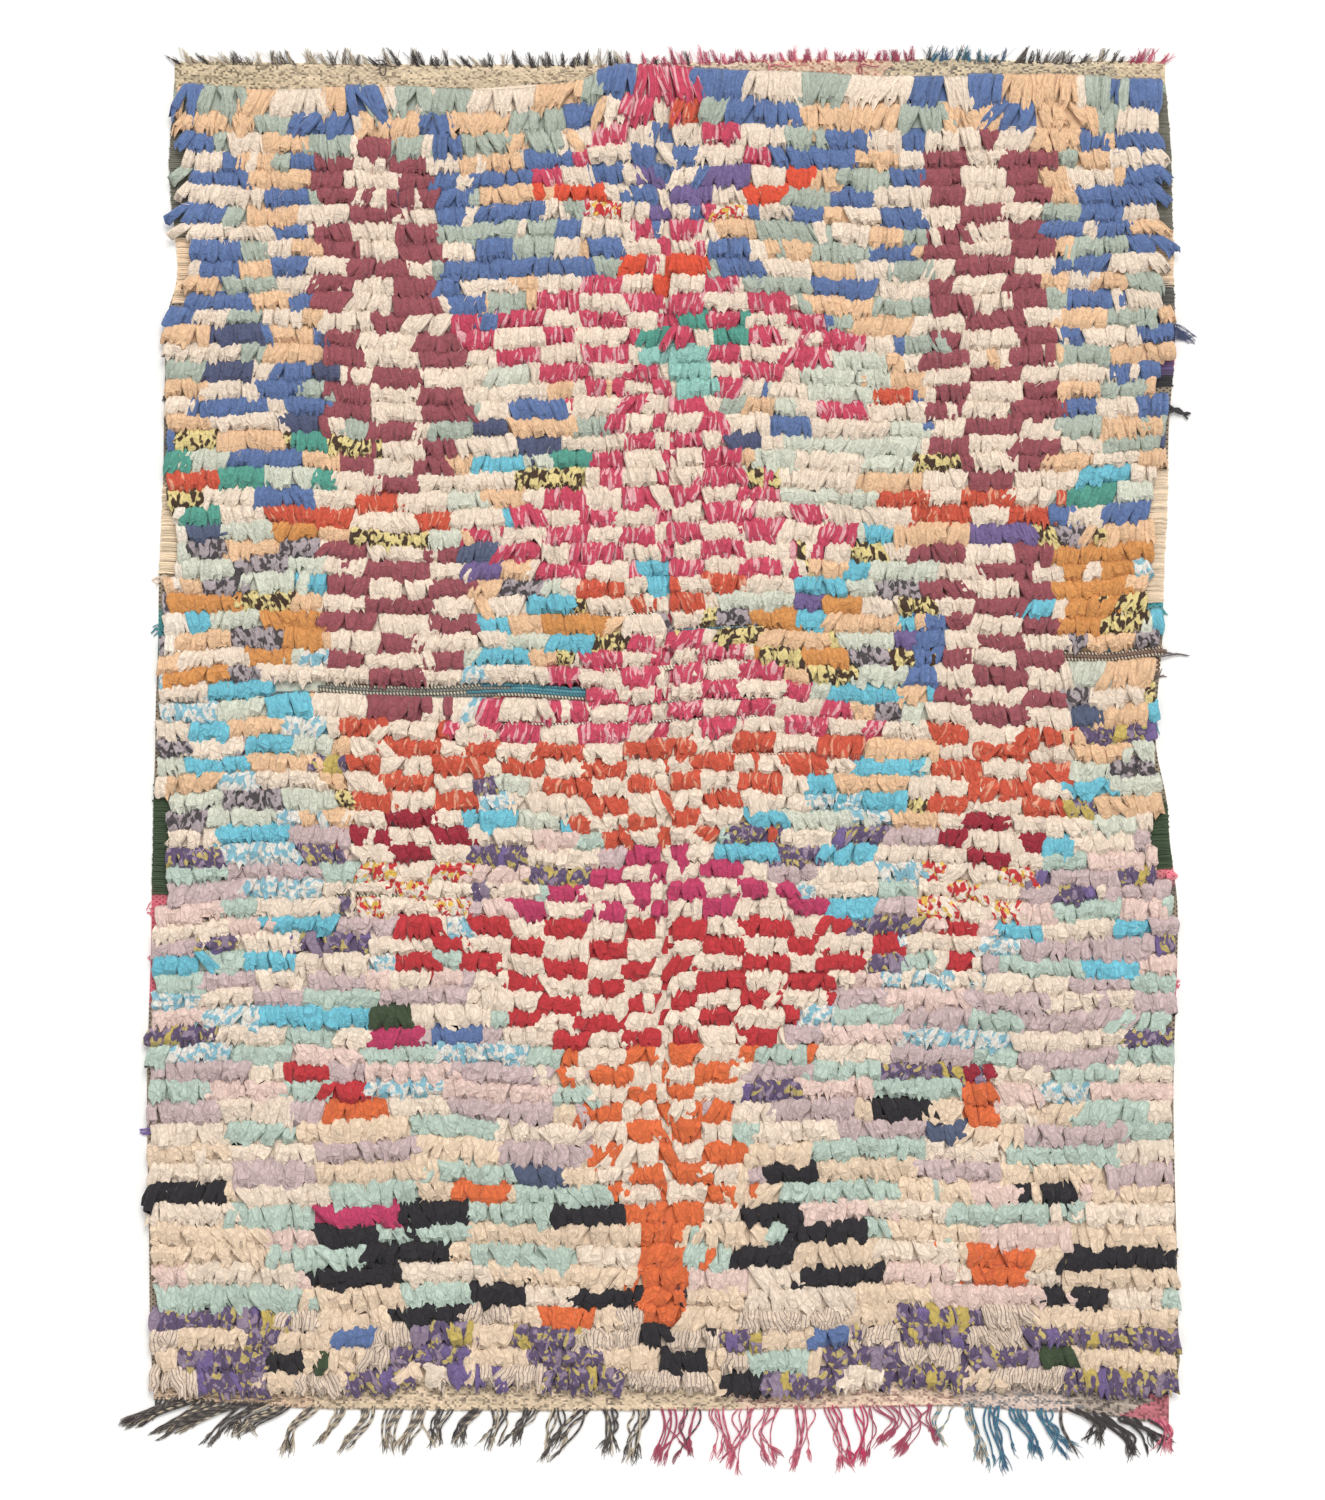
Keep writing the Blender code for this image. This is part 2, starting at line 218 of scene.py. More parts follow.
def smooth_noise(a: np.ndarray, b: np.ndarray, seed: int, count: int = 97) -> np.ndarray:
    """Smooth noise over two coordinates.

    Args:
        a: first coordinate, one lattice step for each unit.
        b: second coordinate.
        seed: which noise.
        count: size of the lattice before it repeats.

    Returns:
        Values from -1 to 1: random lattice values, blended by 3t^2 - 2t^3 along both axes.
    """
    lattice = np.random.default_rng(seed).uniform(-1.0, 1.0, (count, count))
    a, b = np.broadcast_arrays(a, b)
    low_a, low_b = np.floor(a).astype(int), np.floor(b).astype(int)
    ta, tb = a - low_a, b - low_b
    ta, tb = ta * ta * (3.0 - 2.0 * ta), tb * tb * (3.0 - 2.0 * tb)
    corner = {
        (i, j): lattice[(low_a + i) % count, (low_b + j) % count] for i in (0, 1) for j in (0, 1)
    }
    first = corner[0, 0] * (1.0 - tb) + corner[0, 1] * tb
    second = corner[1, 0] * (1.0 - tb) + corner[1, 1] * tb
    return first * (1.0 - ta) + second * ta


def row_roots() -> tuple[np.ndarray, np.ndarray]:
    """Y of each row's root line, from the top down, and the pitch of each row."""
    pitches = np.repeat([b.pitch for b in ROW_BANDS], [b.rows for b in ROW_BANDS])
    return PILE_TOP - np.concatenate([[0.0], np.cumsum(pitches)[:-1]]), pitches


def linear(color: Color) -> tuple[float, float, float, float]:
    """A colour as shaders want it.

    Args:
        color: red, green and blue from 0 to 255, as seen on a screen.

    Returns:
        Linear red, green, blue and an alpha of 1.
    """
    share = np.array(color, float) / 255.0
    value = np.where(share <= 0.04045, share / 12.92, ((share + 0.055) / 1.055) ** 2.4)
    return (*(float(v) for v in value), 1.0)


# Cloths


class Print(Enum):
    """How a cloth's second and third colours lie on it."""

    PLAIN = "plain"
    STREAKED = "streaked"
    BLOTCHED = "blotched"
    FLORAL = "floral"
    PINSTRIPED = "pinstriped"
    SCRAPS = "scraps"


@dataclass(frozen=True)
class RagCloth:
    """One kind of rag: its dye and its print.

    Some of its strips fall on one patch of a wide print, and so have an offcut's dye.
    """

    name: str
    dye: Color
    print_kind: Print = Print.PLAIN
    second: Color = (255, 255, 255)
    third: Color = (255, 255, 255)
    cover: float = 0.4
    motif: float = 0.010
    sheen: float = 0.22
    offcuts: tuple[str, ...] = ()


CLOTHS = (
    RagCloth("cream", (238, 220, 201)),
    RagCloth("warm_white", (244, 231, 216)),
    RagCloth("beige_cream", (233, 209, 183)),
    RagCloth("peach", (234, 194, 156)),
    RagCloth("sage", (177, 187, 174)),
    RagCloth("pale_mint", (213, 216, 200)),
    RagCloth("mint", (186, 204, 192)),
    RagCloth("aqua", (150, 200, 190)),
    RagCloth("royal_blue", (96, 119, 167), sheen=0.3),
    RagCloth("indigo", (84, 90, 120)),
    RagCloth("maroon", (154, 84, 92)),
    RagCloth("rose", (202, 74, 100), Print.STREAKED, (228, 170, 176), cover=0.30, motif=0.006),
    RagCloth("magenta", (192, 64, 104)),
    RagCloth("vermilion", (226, 88, 62)),
    RagCloth("coral", (205, 88, 66), Print.STREAKED, (226, 158, 130), cover=0.16, motif=0.006),
    RagCloth("crimson", (191, 56, 62)),
    RagCloth("dark_red", (158, 44, 60)),
    RagCloth("ochre", (214, 148, 86)),
    RagCloth("tail_orange", (224, 112, 66)),
    RagCloth("sky", (114, 192, 212)),
    RagCloth("teal_green", (88, 158, 142)),
    RagCloth("purple", (118, 100, 148)),
    RagCloth("lilac", (204, 182, 182)),
    RagCloth("pale_pink", (232, 204, 194)),
    RagCloth("black", (48, 46, 50), sheen=0.12),
    RagCloth("dark_green", (64, 78, 56)),
    RagCloth("leopard", (226, 208, 144), Print.BLOTCHED, (72, 54, 42), cover=0.46, motif=0.011),
    RagCloth("grey_print", (174, 162, 166), Print.BLOTCHED, (80, 74, 78), cover=0.44,
             motif=0.010),
    RagCloth("sky_print", (140, 190, 206), Print.BLOTCHED, (228, 224, 216), cover=0.52,
             motif=0.010),
    RagCloth("floral", (98, 83, 114), Print.FLORAL, (150, 132, 154), (190, 172, 110), 0.30, 0.010,
             offcuts=("yellow", "mauve", "purple")),
    RagCloth("yellow", (196, 174, 98)),
    RagCloth("mauve", (146, 129, 150)),
    RagCloth("pinstripe", (226, 206, 186), Print.PINSTRIPED, (146, 130, 128), cover=0.13,
             motif=0.007),
    RagCloth("red_scraps", (234, 220, 204), Print.SCRAPS, (200, 58, 60), (226, 186, 88), 0.46,
             0.010),
    RagCloth("navy", (88, 98, 124)),
)
CLOTH_NUMBER = {cloth.name: number for number, cloth in enumerate(CLOTHS)}


# The pattern


class Rhythm(Enum):
    """How a side column repeats: which of its rows carry the middle block."""

    THREES = 3
    TWOS = 2


@dataclass(frozen=True)
class Zone:
    """Rows of field whose blocks share a length and two sets of cloths, each with weights."""

    last_row: int
    block: float
    strong: dict[str, float]
    calm: dict[str, float]


@dataclass(frozen=True)
class Lozenge:
    """A chequered lozenge on the middle line. Its half widths are in knots."""

    top: int
    wide: int
    foot: int
    top_half: float
    wide_half: float
    foot_half: float
    cloth: str
    low_cloth: str
    low_row: int
    rim: float = 99.0
    heart: str = "cream"


@dataclass(frozen=True)
class Column:
    """A stretch of the two side columns. Middles and half widths are in knots."""

    first_row: int
    last_row: int
    rhythm: Rhythm
    cloth: str
    left: float
    right: float
    inner: float = 3.2
    outer: float = 8.3


@dataclass(frozen=True)
class Calm:
    """A quiet pale patch of the field: rows, and knots from the middle."""

    first_row: int
    last_row: int
    left: float
    right: float
    cloths: dict[str, float]


@dataclass(frozen=True)
class Accent:
    """A single block: row, middle and half length in knots from the crease, rows tall, cloth."""

    row: int
    middle: float
    half: float
    cloth: str
    rows: int = 1


@dataclass(frozen=True)
class BareStretch:
    """Part of a row that was left without knots, so that the ground shows."""

    row: int
    left: float
    right: float
    weft: Color
    warp: Color


ZONES = (
    Zone(1, 6.5, {"royal_blue": 0.10, "peach": 0.65, "sage": 0.25},
         {"cream": 0.60, "peach": 0.22, "sage": 0.18}),
    Zone(12, 6.0, {"royal_blue": 0.38, "peach": 0.38, "sage": 0.24},
         {"cream": 0.66, "sage": 0.16, "peach": 0.18}),
    Zone(19, 6.8, {"royal_blue": 0.46, "peach": 0.32, "indigo": 0.10, "sage": 0.08},
         {"cream": 0.58, "sage": 0.22, "peach": 0.20}),
    Zone(23, 7.0, {"royal_blue": 0.28, "coral": 0.06, "teal_green": 0.08, "sky": 0.18,
                   "leopard": 0.10, "peach": 0.22, "purple": 0.08},
         {"cream": 0.46, "pale_mint": 0.22, "peach": 0.32}),
    Zone(34, 7.0, {"ochre": 0.05, "sky": 0.36, "grey_print": 0.18, "leopard": 0.13,
                   "navy": 0.06, "purple": 0.03, "sky_print": 0.06, "peach": 0.12},
         {"pale_mint": 0.40, "cream": 0.24, "peach": 0.36}),
    Zone(40, 7.6, {"sky": 0.40, "sky_print": 0.24, "grey_print": 0.12, "leopard": 0.06,
                   "floral": 0.14, "peach": 0.14},
         {"pale_mint": 0.42, "cream": 0.26, "peach": 0.32}),
    Zone(48, 8.4, {"floral": 0.26, "sky_print": 0.20, "lilac": 0.26, "sky": 0.22,
                   "royal_blue": 0.05, "pale_pink": 0.09},
         {"mint": 0.30, "cream": 0.42, "lilac": 0.20, "pale_pink": 0.08}),
    Zone(55, 10.0, {"lilac": 0.46, "sky_print": 0.18, "floral": 0.10, "mint": 0.26},
         {"mint": 0.40, "cream": 0.42, "pale_pink": 0.18}),
    Zone(59, 11.0, {"lilac": 0.46, "mint": 0.50, "floral": 0.04},
         {"beige_cream": 0.50, "cream": 0.24, "mint": 0.26}),
    Zone(65, 11.5, {"mint": 0.66, "pale_pink": 0.14, "beige_cream": 0.20},
         {"beige_cream": 0.82, "cream": 0.18}),
    Zone(66, 9.0, {"beige_cream": 1.0}, {"beige_cream": 0.8, "pinstripe": 0.2}),
    Zone(69, 9.0, {"pinstripe": 0.6, "beige_cream": 0.4}, {"pinstripe": 0.7, "beige_cream": 0.3}),
)

LOZENGES = tuple(Lozenge(*one) for one in (
    (0, 4, 8, 3.2, 17.5, 3.5, "rose", "rose", 99, 5.5, "royal_blue"),
    (9, 13, 17, 5.6, 27.0, 8.0, "rose", "rose", 99),
    (17, 18, 21, 8.0, 8.5, 9.5, "rose", "rose", 99),
    (21, 24, 29, 9.5, 26.0, 4.0, "rose", "coral", 27),
    (29, 35, 42, 4.0, 28.5, 4.0, "rose", "coral", 36),
    (42, 47, 53, 5.0, 31.0, 12.0, "magenta", "crimson", 46),
    (53, 54, 61, 13.0, 10.5, 9.0, "tail_orange", "tail_orange", 99),
    (61, 62, 66, 3.2, 3.2, 2.6, "tail_orange", "tail_orange", 99, 0.0, "tail_orange"),
))
CELL = 5.5
FIRST_CELL = 4.9
CENTRE_CELL = 1.35
LOZENGE_MIDDLE = -0.6

COLUMNS = (
    Column(2, 3, Rhythm.TWOS, "maroon", -38.7, 42.4, 2.3, 7.8),
    Column(4, 11, Rhythm.THREES, "maroon", -38.4, 42.0, 2.8, 8.1),
    Column(12, 21, Rhythm.THREES, "maroon", -36.0, 42.5),
    Column(22, 23, Rhythm.TWOS, "coral", -37.0, 42.5),
    Column(25, 34, Rhythm.TWOS, "maroon", -35.6, 43.0, 3.6, 9.4),
    Column(35, 39, Rhythm.TWOS, "coral", -33.6, 43.6, 3.2, 8.6),
    Column(40, 42, Rhythm.TWOS, "dark_red", -34.0, 42.0, 2.8, 7.6),
    Column(43, 45, Rhythm.TWOS, "red_scraps", -33.0, 40.0, 3.4, 7.4),
    Column(46, 49, Rhythm.TWOS, "crimson", -33.0, 38.6, 2.4, 2.6),
)

CALMS = (
    Calm(13, 16, -31.0, -15.0, {"pale_mint": 0.7, "cream": 0.3}),
    Calm(13, 16, 13.0, 30.0, {"pale_mint": 0.7, "cream": 0.3}),
    Calm(17, 23, 14.0, 34.0, {"pale_mint": 0.55, "cream": 0.33, "peach": 0.12}),
    Calm(23, 30, -66.0, -63.0, {"warm_white": 1.0}),
)

ACCENTS = tuple(Accent(*one) for one in (
    (0, 0.1, 3.2, "rose"), (0, -7.0, 2.0, "royal_blue"), (0, 7.8, 2.6, "royal_blue"),
    (0, -62.2, 1.6, "royal_blue"), (0, -40.8, 2.0, "royal_blue"), (0, -33.6, 1.9, "sage"),
    (1, -59.3, 4.4, "peach"), (1, -45.4, 3.9, "royal_blue"), (1, -38.0, 2.9, "peach"),
    (1, -30.4, 2.6, "royal_blue"), (1, -23.9, 3.9, "peach"), (1, 3.7, 1.8, "coral"),
    (0, 51.0, 3.2, "peach"), (0, 56.8, 1.9, "sage"), (0, 62.3, 2.3, "royal_blue"),
    (1, 45.7, 1.8, "royal_blue"), (2, 51.1, 2.9, "peach"), (2, 61.7, 3.3, "royal_blue"),
    (3, 61.5, 3.4, "cream"), (4, 61.7, 3.0, "royal_blue"), (5, 54.5, 2.5, "royal_blue"),
    (6, 57.0, 2.3, "royal_blue"), (7, 58.5, 2.0, "royal_blue"), (8, 62.2, 2.4, "royal_blue"),
    (2, -62.5, 2.6, "royal_blue"), (2, -45.0, 2.9, "sage"), (2, -33.9, 2.5, "sage"),
    (2, -16.2, 2.6, "sage"), (3, -61.2, 3.6, "cream"), (3, -54.6, 2.6, "peach"),
    (4, -60.0, 3.1, "royal_blue"), (4, -16.4, 2.2, "rose"), (5, -60.3, 3.0, "cream"),
    (5, -49.3, 3.0, "royal_blue"), (5, -27.4, 2.5, "royal_blue"), (5, -21.2, 3.4, "peach"),
    (6, -61.0, 3.8, "royal_blue"), (6, -21.6, 3.6, "royal_blue"), (7, -60.0, 4.2, "cream"),
    (7, -49.6, 2.5, "royal_blue"), (7, -22.3, 3.0, "sage"), (8, -60.2, 3.8, "royal_blue"),
    (8, -22.7, 3.2, "royal_blue"), (8, -17.1, 2.3, "sage"), (9, -50.0, 3.0, "royal_blue"),
    (9, -27.7, 2.5, "royal_blue"), (9, -17.0, 2.2, "royal_blue"), (11, -26.6, 2.2, "royal_blue"),
    (12, -25.2, 1.6, "rose"), (13, -49.5, 3.0, "peach", 2), (15, -49.0, 2.4, "royal_blue"),
    (17, -47.8, 3.3, "royal_blue"), (18, -41.5, 2.2, "sage"), (18, -28.0, 3.2, "sage"),
    (19, -47.5, 2.8, "teal_green"), (0, 42.0, 2.8, "royal_blue"), (1, -11.6, 2.3, "royal_blue"),
    (1, 10.3, 1.2, "royal_blue"), (3, -15.1, 3.0, "royal_blue"), (3, 20.0, 4.2, "royal_blue"),
    (4, -21.8, 3.0, "royal_blue"), (4, -3.5, 1.8, "purple"), (4, 7.8, 2.6, "purple"),
    (4, 16.8, 2.1, "vermilion"), (5, 3.4, 1.9, "purple"), (5, -10.9, 2.9, "vermilion"),
    (5, 12.5, 3.3, "vermilion"), (6, -0.5, 1.9, "purple"), (6, -7.4, 2.0, "red_scraps"),
    (6, 7.8, 2.3, "red_scraps"), (6, 17.5, 2.5, "royal_blue"), (7, -12.6, 1.9, "royal_blue"),
    (7, -7.5, 2.1, "cream"), (8, -8.2, 1.9, "royal_blue"), (8, 3.2, 2.8, "cream"),
    (8, 9.0, 2.1, "royal_blue"), (8, 14.0, 2.6, "peach"), (9, -4.4, 2.2, "vermilion"),
    (9, 2.6, 2.4, "vermilion"), (10, -1.0, 1.6, "vermilion"), (12, 2.8, 2.4, "teal_green"),
    (13, -0.8, 1.7, "teal_green"), (13, 7.7, 2.5, "teal_green"), (14, 1.4, 4.5, "aqua"),
    (15, 3.4, 2.6, "aqua"), (16, 3.4, 2.6, "aqua"), (16, 30.0, 2.7, "coral"),
    (17, 23.4, 3.4, "rose"), (18, 16.0, 2.6, "royal_blue"), (19, -41.4, 3.3, "leopard"),
    (20, 35.0, 2.6, "leopard"), (21, -62.0, 3.4, "coral"), (22, 31.6, 3.6, "coral"),
    (19, -62.0, 3.6, "leopard"), (20, -13.0, 2.6, "teal_green"), (21, -55.0, 3.0, "teal_green"),
    (26, -1.2, 2.2, "sky", 2), (25, 58.0, 7.2, "ochre"), (26, 53.2, 2.2, "ochre"),
    (26, 59.6, 2.2, "ochre"), (27, 54.8, 4.0, "ochre"), (28, 50.0, 2.2, "sky"),
    (28, 56.6, 3.4, "ochre"), (29, 54.0, 2.4, "ochre"), (29, 59.5, 2.5, "leopard"),
    (28, -61.7, 4.0, "ochre"), (29, -49.2, 4.7, "ochre"), (30, -47.4, 2.4, "ochre"),
    (31, -52.9, 3.1, "ochre"), (32, -61.5, 4.4, "ochre"), (28, 23.3, 2.5, "ochre"),
    (29, 14.2, 3.6, "ochre"), (29, 8.6, 2.2, "grey_print"), (30, -8.0, 2.6, "leopard"),
    (30, 9.6, 2.6, "leopard"), (31, 20.1, 2.9, "ochre"), (29, -9.6, 2.8, "ochre"),
    (29, 34.0, 2.0, "royal_blue", 4), (51, -37.0, 3.4, "dark_green"), (52, -35.6, 3.2, "magenta"),
    (52, -26.5, 3.6, "royal_blue"), (51, -46.0, 7.0, "sky"), (54, -47.8, 3.2, "crimson"),
    (55, -41.5, 3.4, "crimson"), (56, -41.0, 3.4, "tail_orange"), (54, 40.6, 2.2, "dark_red"),
    (55, 40.8, 2.4, "tail_orange", 2), (56, 30.3, 3.2, "black"), (57, 36.0, 3.4, "navy"),
    (59, 16.2, 3.4, "black"), (59, -17.0, 3.4, "navy"), (60, -63.0, 5.4, "black"),
    (60, 49.3, 4.0, "black"), (60, -24.2, 4.0, "tail_orange"), (61, -41.4, 5.3, "magenta"),
    (61, -31.5, 4.2, "black"), (61, -9.5, 4.6, "black"), (61, 12.8, 4.2, "black"),
    (62, -42.3, 4.8, "black"), (62, 21.0, 5.0, "black"), (63, -33.8, 5.2, "black"),
    (63, 13.8, 4.4, "black"), (63, 59.2, 7.4, "black"), (63, 43.4, 4.0, "tail_orange", 2),
    (64, -41.3, 5.8, "black"), (64, 22.8, 5.2, "black"), (65, -22.0, 4.4, "black"),
    (65, -6.8, 4.3, "black"), (65, 52.0, 4.4, "black"), (66, -31.0, 5.0, "black"),
    (66, -13.8, 4.2, "tail_orange"), (66, -59.0, 8.3, "floral"), (66, -47.8, 3.2, "pinstripe"),
    (66, 34.2, 5.5, "floral"), (67, -59.5, 4.4, "beige_cream"), (67, -53.0, 2.2, "floral"),
    (67, -42.0, 2.6, "royal_blue"), (67, -30.0, 4.7, "floral"), (67, -16.0, 3.9, "floral"),
    (67, -2.4, 1.4, "black"), (67, 10.5, 2.8, "floral"), (67, 21.0, 2.1, "royal_blue"),
    (67, 34.0, 4.6, "floral"), (67, 56.7, 10.4, "floral"), (68, -58.0, 6.2, "floral"),
    (68, -49.2, 2.5, "black"), (68, -45.3, 1.4, "dark_green"), (68, -31.5, 5.0, "floral"),
    (68, -13.8, 5.2, "floral"), (68, 2.2, 2.9, "black"), (68, 14.7, 4.6, "mint"),
    (68, 24.5, 5.1, "floral"), (68, 44.2, 5.4, "floral"), (68, 51.2, 1.7, "dark_green"),
    (68, 60.0, 7.2, "beige_cream"), (69, -58.5, 4.5, "floral"), (69, -38.7, 4.5, "floral"),
    (69, -30.6, 2.0, "cream"), (69, -24.0, 4.0, "purple"), (69, -10.5, 5.0, "floral"),
    (69, 9.6, 2.8, "black"), (69, 17.2, 4.9, "floral"), (69, 25.4, 3.3, "cream"),
    (69, 34.2, 5.5, "floral"), (69, 59.6, 7.8, "floral"),
))

BARE_STRETCHES = (
    BareStretch(33, -52.0, -10.0, (96, 104, 98), (92, 150, 156)),
    BareStretch(31, 51.0, 66.0, (104, 78, 66), (216, 200, 176)),
)


@dataclass(frozen=True)
class WeftRun:
    """Weft yarn that shows along the root line of a row.

    It runs from one knot to another, lies below the root line by its drop and has two plies.
    """

    row: int
    left: float
    right: float
    drop: float
    dye: Color
    other: Color
    radius: float = 0.0020
    level: float = 0.0140


GREY_WEFT, PALE_WEFT, TEAL_WEFT = (88, 92, 88), (206, 194, 172), (70, 132, 146)
WEFT_RUNS = tuple(WeftRun(*one) for one in (
    (33, -45.0, -24.0, 0.0030, GREY_WEFT, PALE_WEFT, 0.0026, 0.0100),
    (33, -46.0, -20.0, 0.0080, GREY_WEFT, (136, 134, 124), 0.0028, 0.0096),
    (33, -46.0, -26.0, 0.0130, GREY_WEFT, PALE_WEFT, 0.0028, 0.0094),
    (33, -45.0, -22.0, 0.0180, GREY_WEFT, (136, 134, 124), 0.0026, 0.0096),
    (33, -25.0, -10.0, 0.0030, TEAL_WEFT, (60, 98, 112), 0.0026, 0.0100),
    (33, -21.0, -9.0, 0.0080, TEAL_WEFT, (96, 150, 160), 0.0028, 0.0096),
    (33, -27.0, -8.0, 0.0130, TEAL_WEFT, (60, 98, 112), 0.0028, 0.0094),
    (33, -23.0, -9.0, 0.0180, GREY_WEFT, PALE_WEFT, 0.0026, 0.0096),
    (34, -66.0, -45.0, -0.0010, (74, 72, 70), (112, 108, 100), 0.0016),
    (34, -9.0, 16.0, -0.0010, (120, 112, 104), PALE_WEFT, 0.0016),
    (31, 51.0, 65.0, 0.0040, (98, 76, 66), PALE_WEFT, 0.0026, 0.0100),
    (31, 50.0, 65.5, 0.0090, (98, 76, 66), (134, 108, 92), 0.0028, 0.0096),
    (31, 51.0, 65.0, 0.0140, (84, 66, 60), PALE_WEFT, 0.0026, 0.0096),
    (32, -9.5, 11.0, 0.0005, (150, 140, 128), (236, 222, 200), 0.0022),
    (32, -8.5, 12.0, 0.0040, (150, 140, 128), (236, 222, 200), 0.0020, 0.0150),
    (32, -25.0, -10.0, 0.0010, (150, 140, 128), (228, 214, 192), 0.0018),
    (35, -23.0, 15.0, 0.0010, (96, 94, 92), (232, 218, 196), 0.0018),
    (29, -14.0, -1.0, 0.0010, (84, 78, 76), (228, 214, 192), 0.0018),
    (30, -1.0, 12.5, 0.0010, (60, 96, 108), (96, 140, 150), 0.0018),
    (37, 6.0, 20.0, 0.0010, (180, 120, 110), (228, 210, 190), 0.0018),
    (45, -44.5, -34.0, 0.0010, (64, 78, 56), (206, 194, 172), 0.0024),
    (64, -35.0, -26.0, 0.0020, (70, 68, 70), (222, 212, 196), 0.0024),
    (7, 20.0, 27.0, 0.0010, (96, 92, 84), (206, 194, 172), 0.0016),
))


@dataclass
class Chart:
    """The pattern, row by row and knot by knot.

    Blocks of the field lie like bricks: their ends step from row to row, and strong cloths
    change places with calm ones. The lozenges, side columns and accents lie over them.
    """

    step: float = 1.5
    unevenness: float = 1.3
    swap: float = 0.07
    cloth: np.ndarray = field(init=False)
    block: np.ndarray = field(init=False)

    def __post_init__(self) -> None:
        """Charts the whole rug."""
        self.rng = chance(0)
        self.knots = np.arange(KNOTS) - float(MIDDLE_KNOT)
        self.cloth = np.zeros((ROWS, KNOTS), int)
        self.block = np.zeros((ROWS, KNOTS), int)
        self._lay_field()
        self._lay_calms()
        self._lay_columns()
        self._lay_lozenges()
        self._lay_accents()

    def _pick(self, weights: dict[str, float], unlike: set[int]) -> int:
        """Draws a cloth by weight.

        Args:
            weights: cloth names and how often each comes.
            unlike: cloths that the block's neighbours have, which it avoids if it can.

        Returns:
            The cloth's number.
        """
        names = [CLOTH_NUMBER[name] for name in weights]
        chances = np.array(list(weights.values()))
        chances = chances * np.array([0.04 if name in unlike else 1.0 for name in names])
        return int(self.rng.choice(names, p=chances / chances.sum()))

    def _ends(self, row: int, ends: np.ndarray, block: float) -> np.ndarray:
        """Moves the block ends of one row on to the next.

        Args:
            row: the next row.
            ends: the ends of this row's blocks, in knots from the crease.
            block: the zone's usual block length.

        Returns:
            The next row's ends: each steps towards the middle and strays a little, and ends
            that come too close are dropped and wide blocks split.
        """
        moved = ends - np.sign(ends) * self.step
        moved = np.sort(moved + self.rng.normal(0.0, self.unevenness, len(moved)))
        kept: list[float] = []
        start = -MIDDLE_KNOT - block * (0.2 + 0.3 * (row % 3))
        last = start
        for end in moved:
            if end - last < block * 0.55:
                continue
            while end - last > block * 1.55:
                last += block * self.rng.uniform(0.8, 1.2)
                kept.append(last)
            kept.append(float(end))
            last = float(end)
        while last < MIDDLE_KNOT + block:
            last += block * self.rng.uniform(0.75, 1.25)
            kept.append(last)
        return np.array(kept)

    def _lay_field(self) -> None:
        """Lays the field's blocks."""
        ends = np.arange(-MIDDLE_KNOT - 6.0, MIDDLE_KNOT + 12.0, ZONES[0].block)
        for row in range(ROWS):
            zone = next(z for z in ZONES if row <= z.last_row)
            ends = self._ends(row, ends, zone.block)
            number = np.searchsorted(ends, self.knots)
            above = self.cloth[row - 1] if row else self.cloth[0] - 1
            left = -1
            for one in np.unique(number):
                here = number == one
                strong = (one + row) % 2 == 0
                if self.rng.random() < self.swap:
                    strong = not strong
                names, shares = np.unique(above[here], return_counts=True)
                near = {int(name) for name in names[shares > 0.3 * here.sum()]}
                weights = zone.strong if strong else zone.calm
                left = self._pick(weights, {left} | near)
                self.cloth[row, here] = left
            self.block[row] = number + row * KNOTS

    def _mark(self, row: int, here: np.ndarray, cloth: str, tag: int) -> None:
        """Gives some knots of a row a cloth, as one block with a number of its own."""
        self.cloth[row, here] = CLOTH_NUMBER[cloth]
        self.block[row, here] = tag + row * KNOTS + ROWS * KNOTS

    def _lay_calms(self) -> None:
        """Lays the quiet patches, in blocks as long as the field's."""
        for calm in CALMS:
            for row in range(calm.first_row, calm.last_row + 1):
                inside = between(self.knots, calm.left, calm.right)
                for one in np.unique(self.block[row, inside]):
                    here = inside & (self.block[row] == one)
                    self.cloth[row, here] = self._pick(calm.cloths, set())

    def _lay_columns(self) -> None:
        """Lays the side columns: a middle block on one row, then two outer blocks."""
        for column in COLUMNS:
            for row in range(column.first_row, column.last_row + 1):
                for middle in (column.left, column.right):
                    shift = self.rng.normal(0.0, 0.45)
                    away = np.abs(self.knots - middle - shift)
                    inner = column.inner + self.rng.normal(0.0, 0.3)
                    outer = column.outer + self.rng.normal(0.0, 0.4)
                    on_middle = row % column.rhythm.value == 0
                    tag = 40 + int(middle > 0) * 10
                    self._mark(row, away < outer, "cream", tag)
                    marked = away < inner if on_middle else (away >= inner) & (away < outer)
                    self._mark(row, marked, column.cloth, tag + 1)

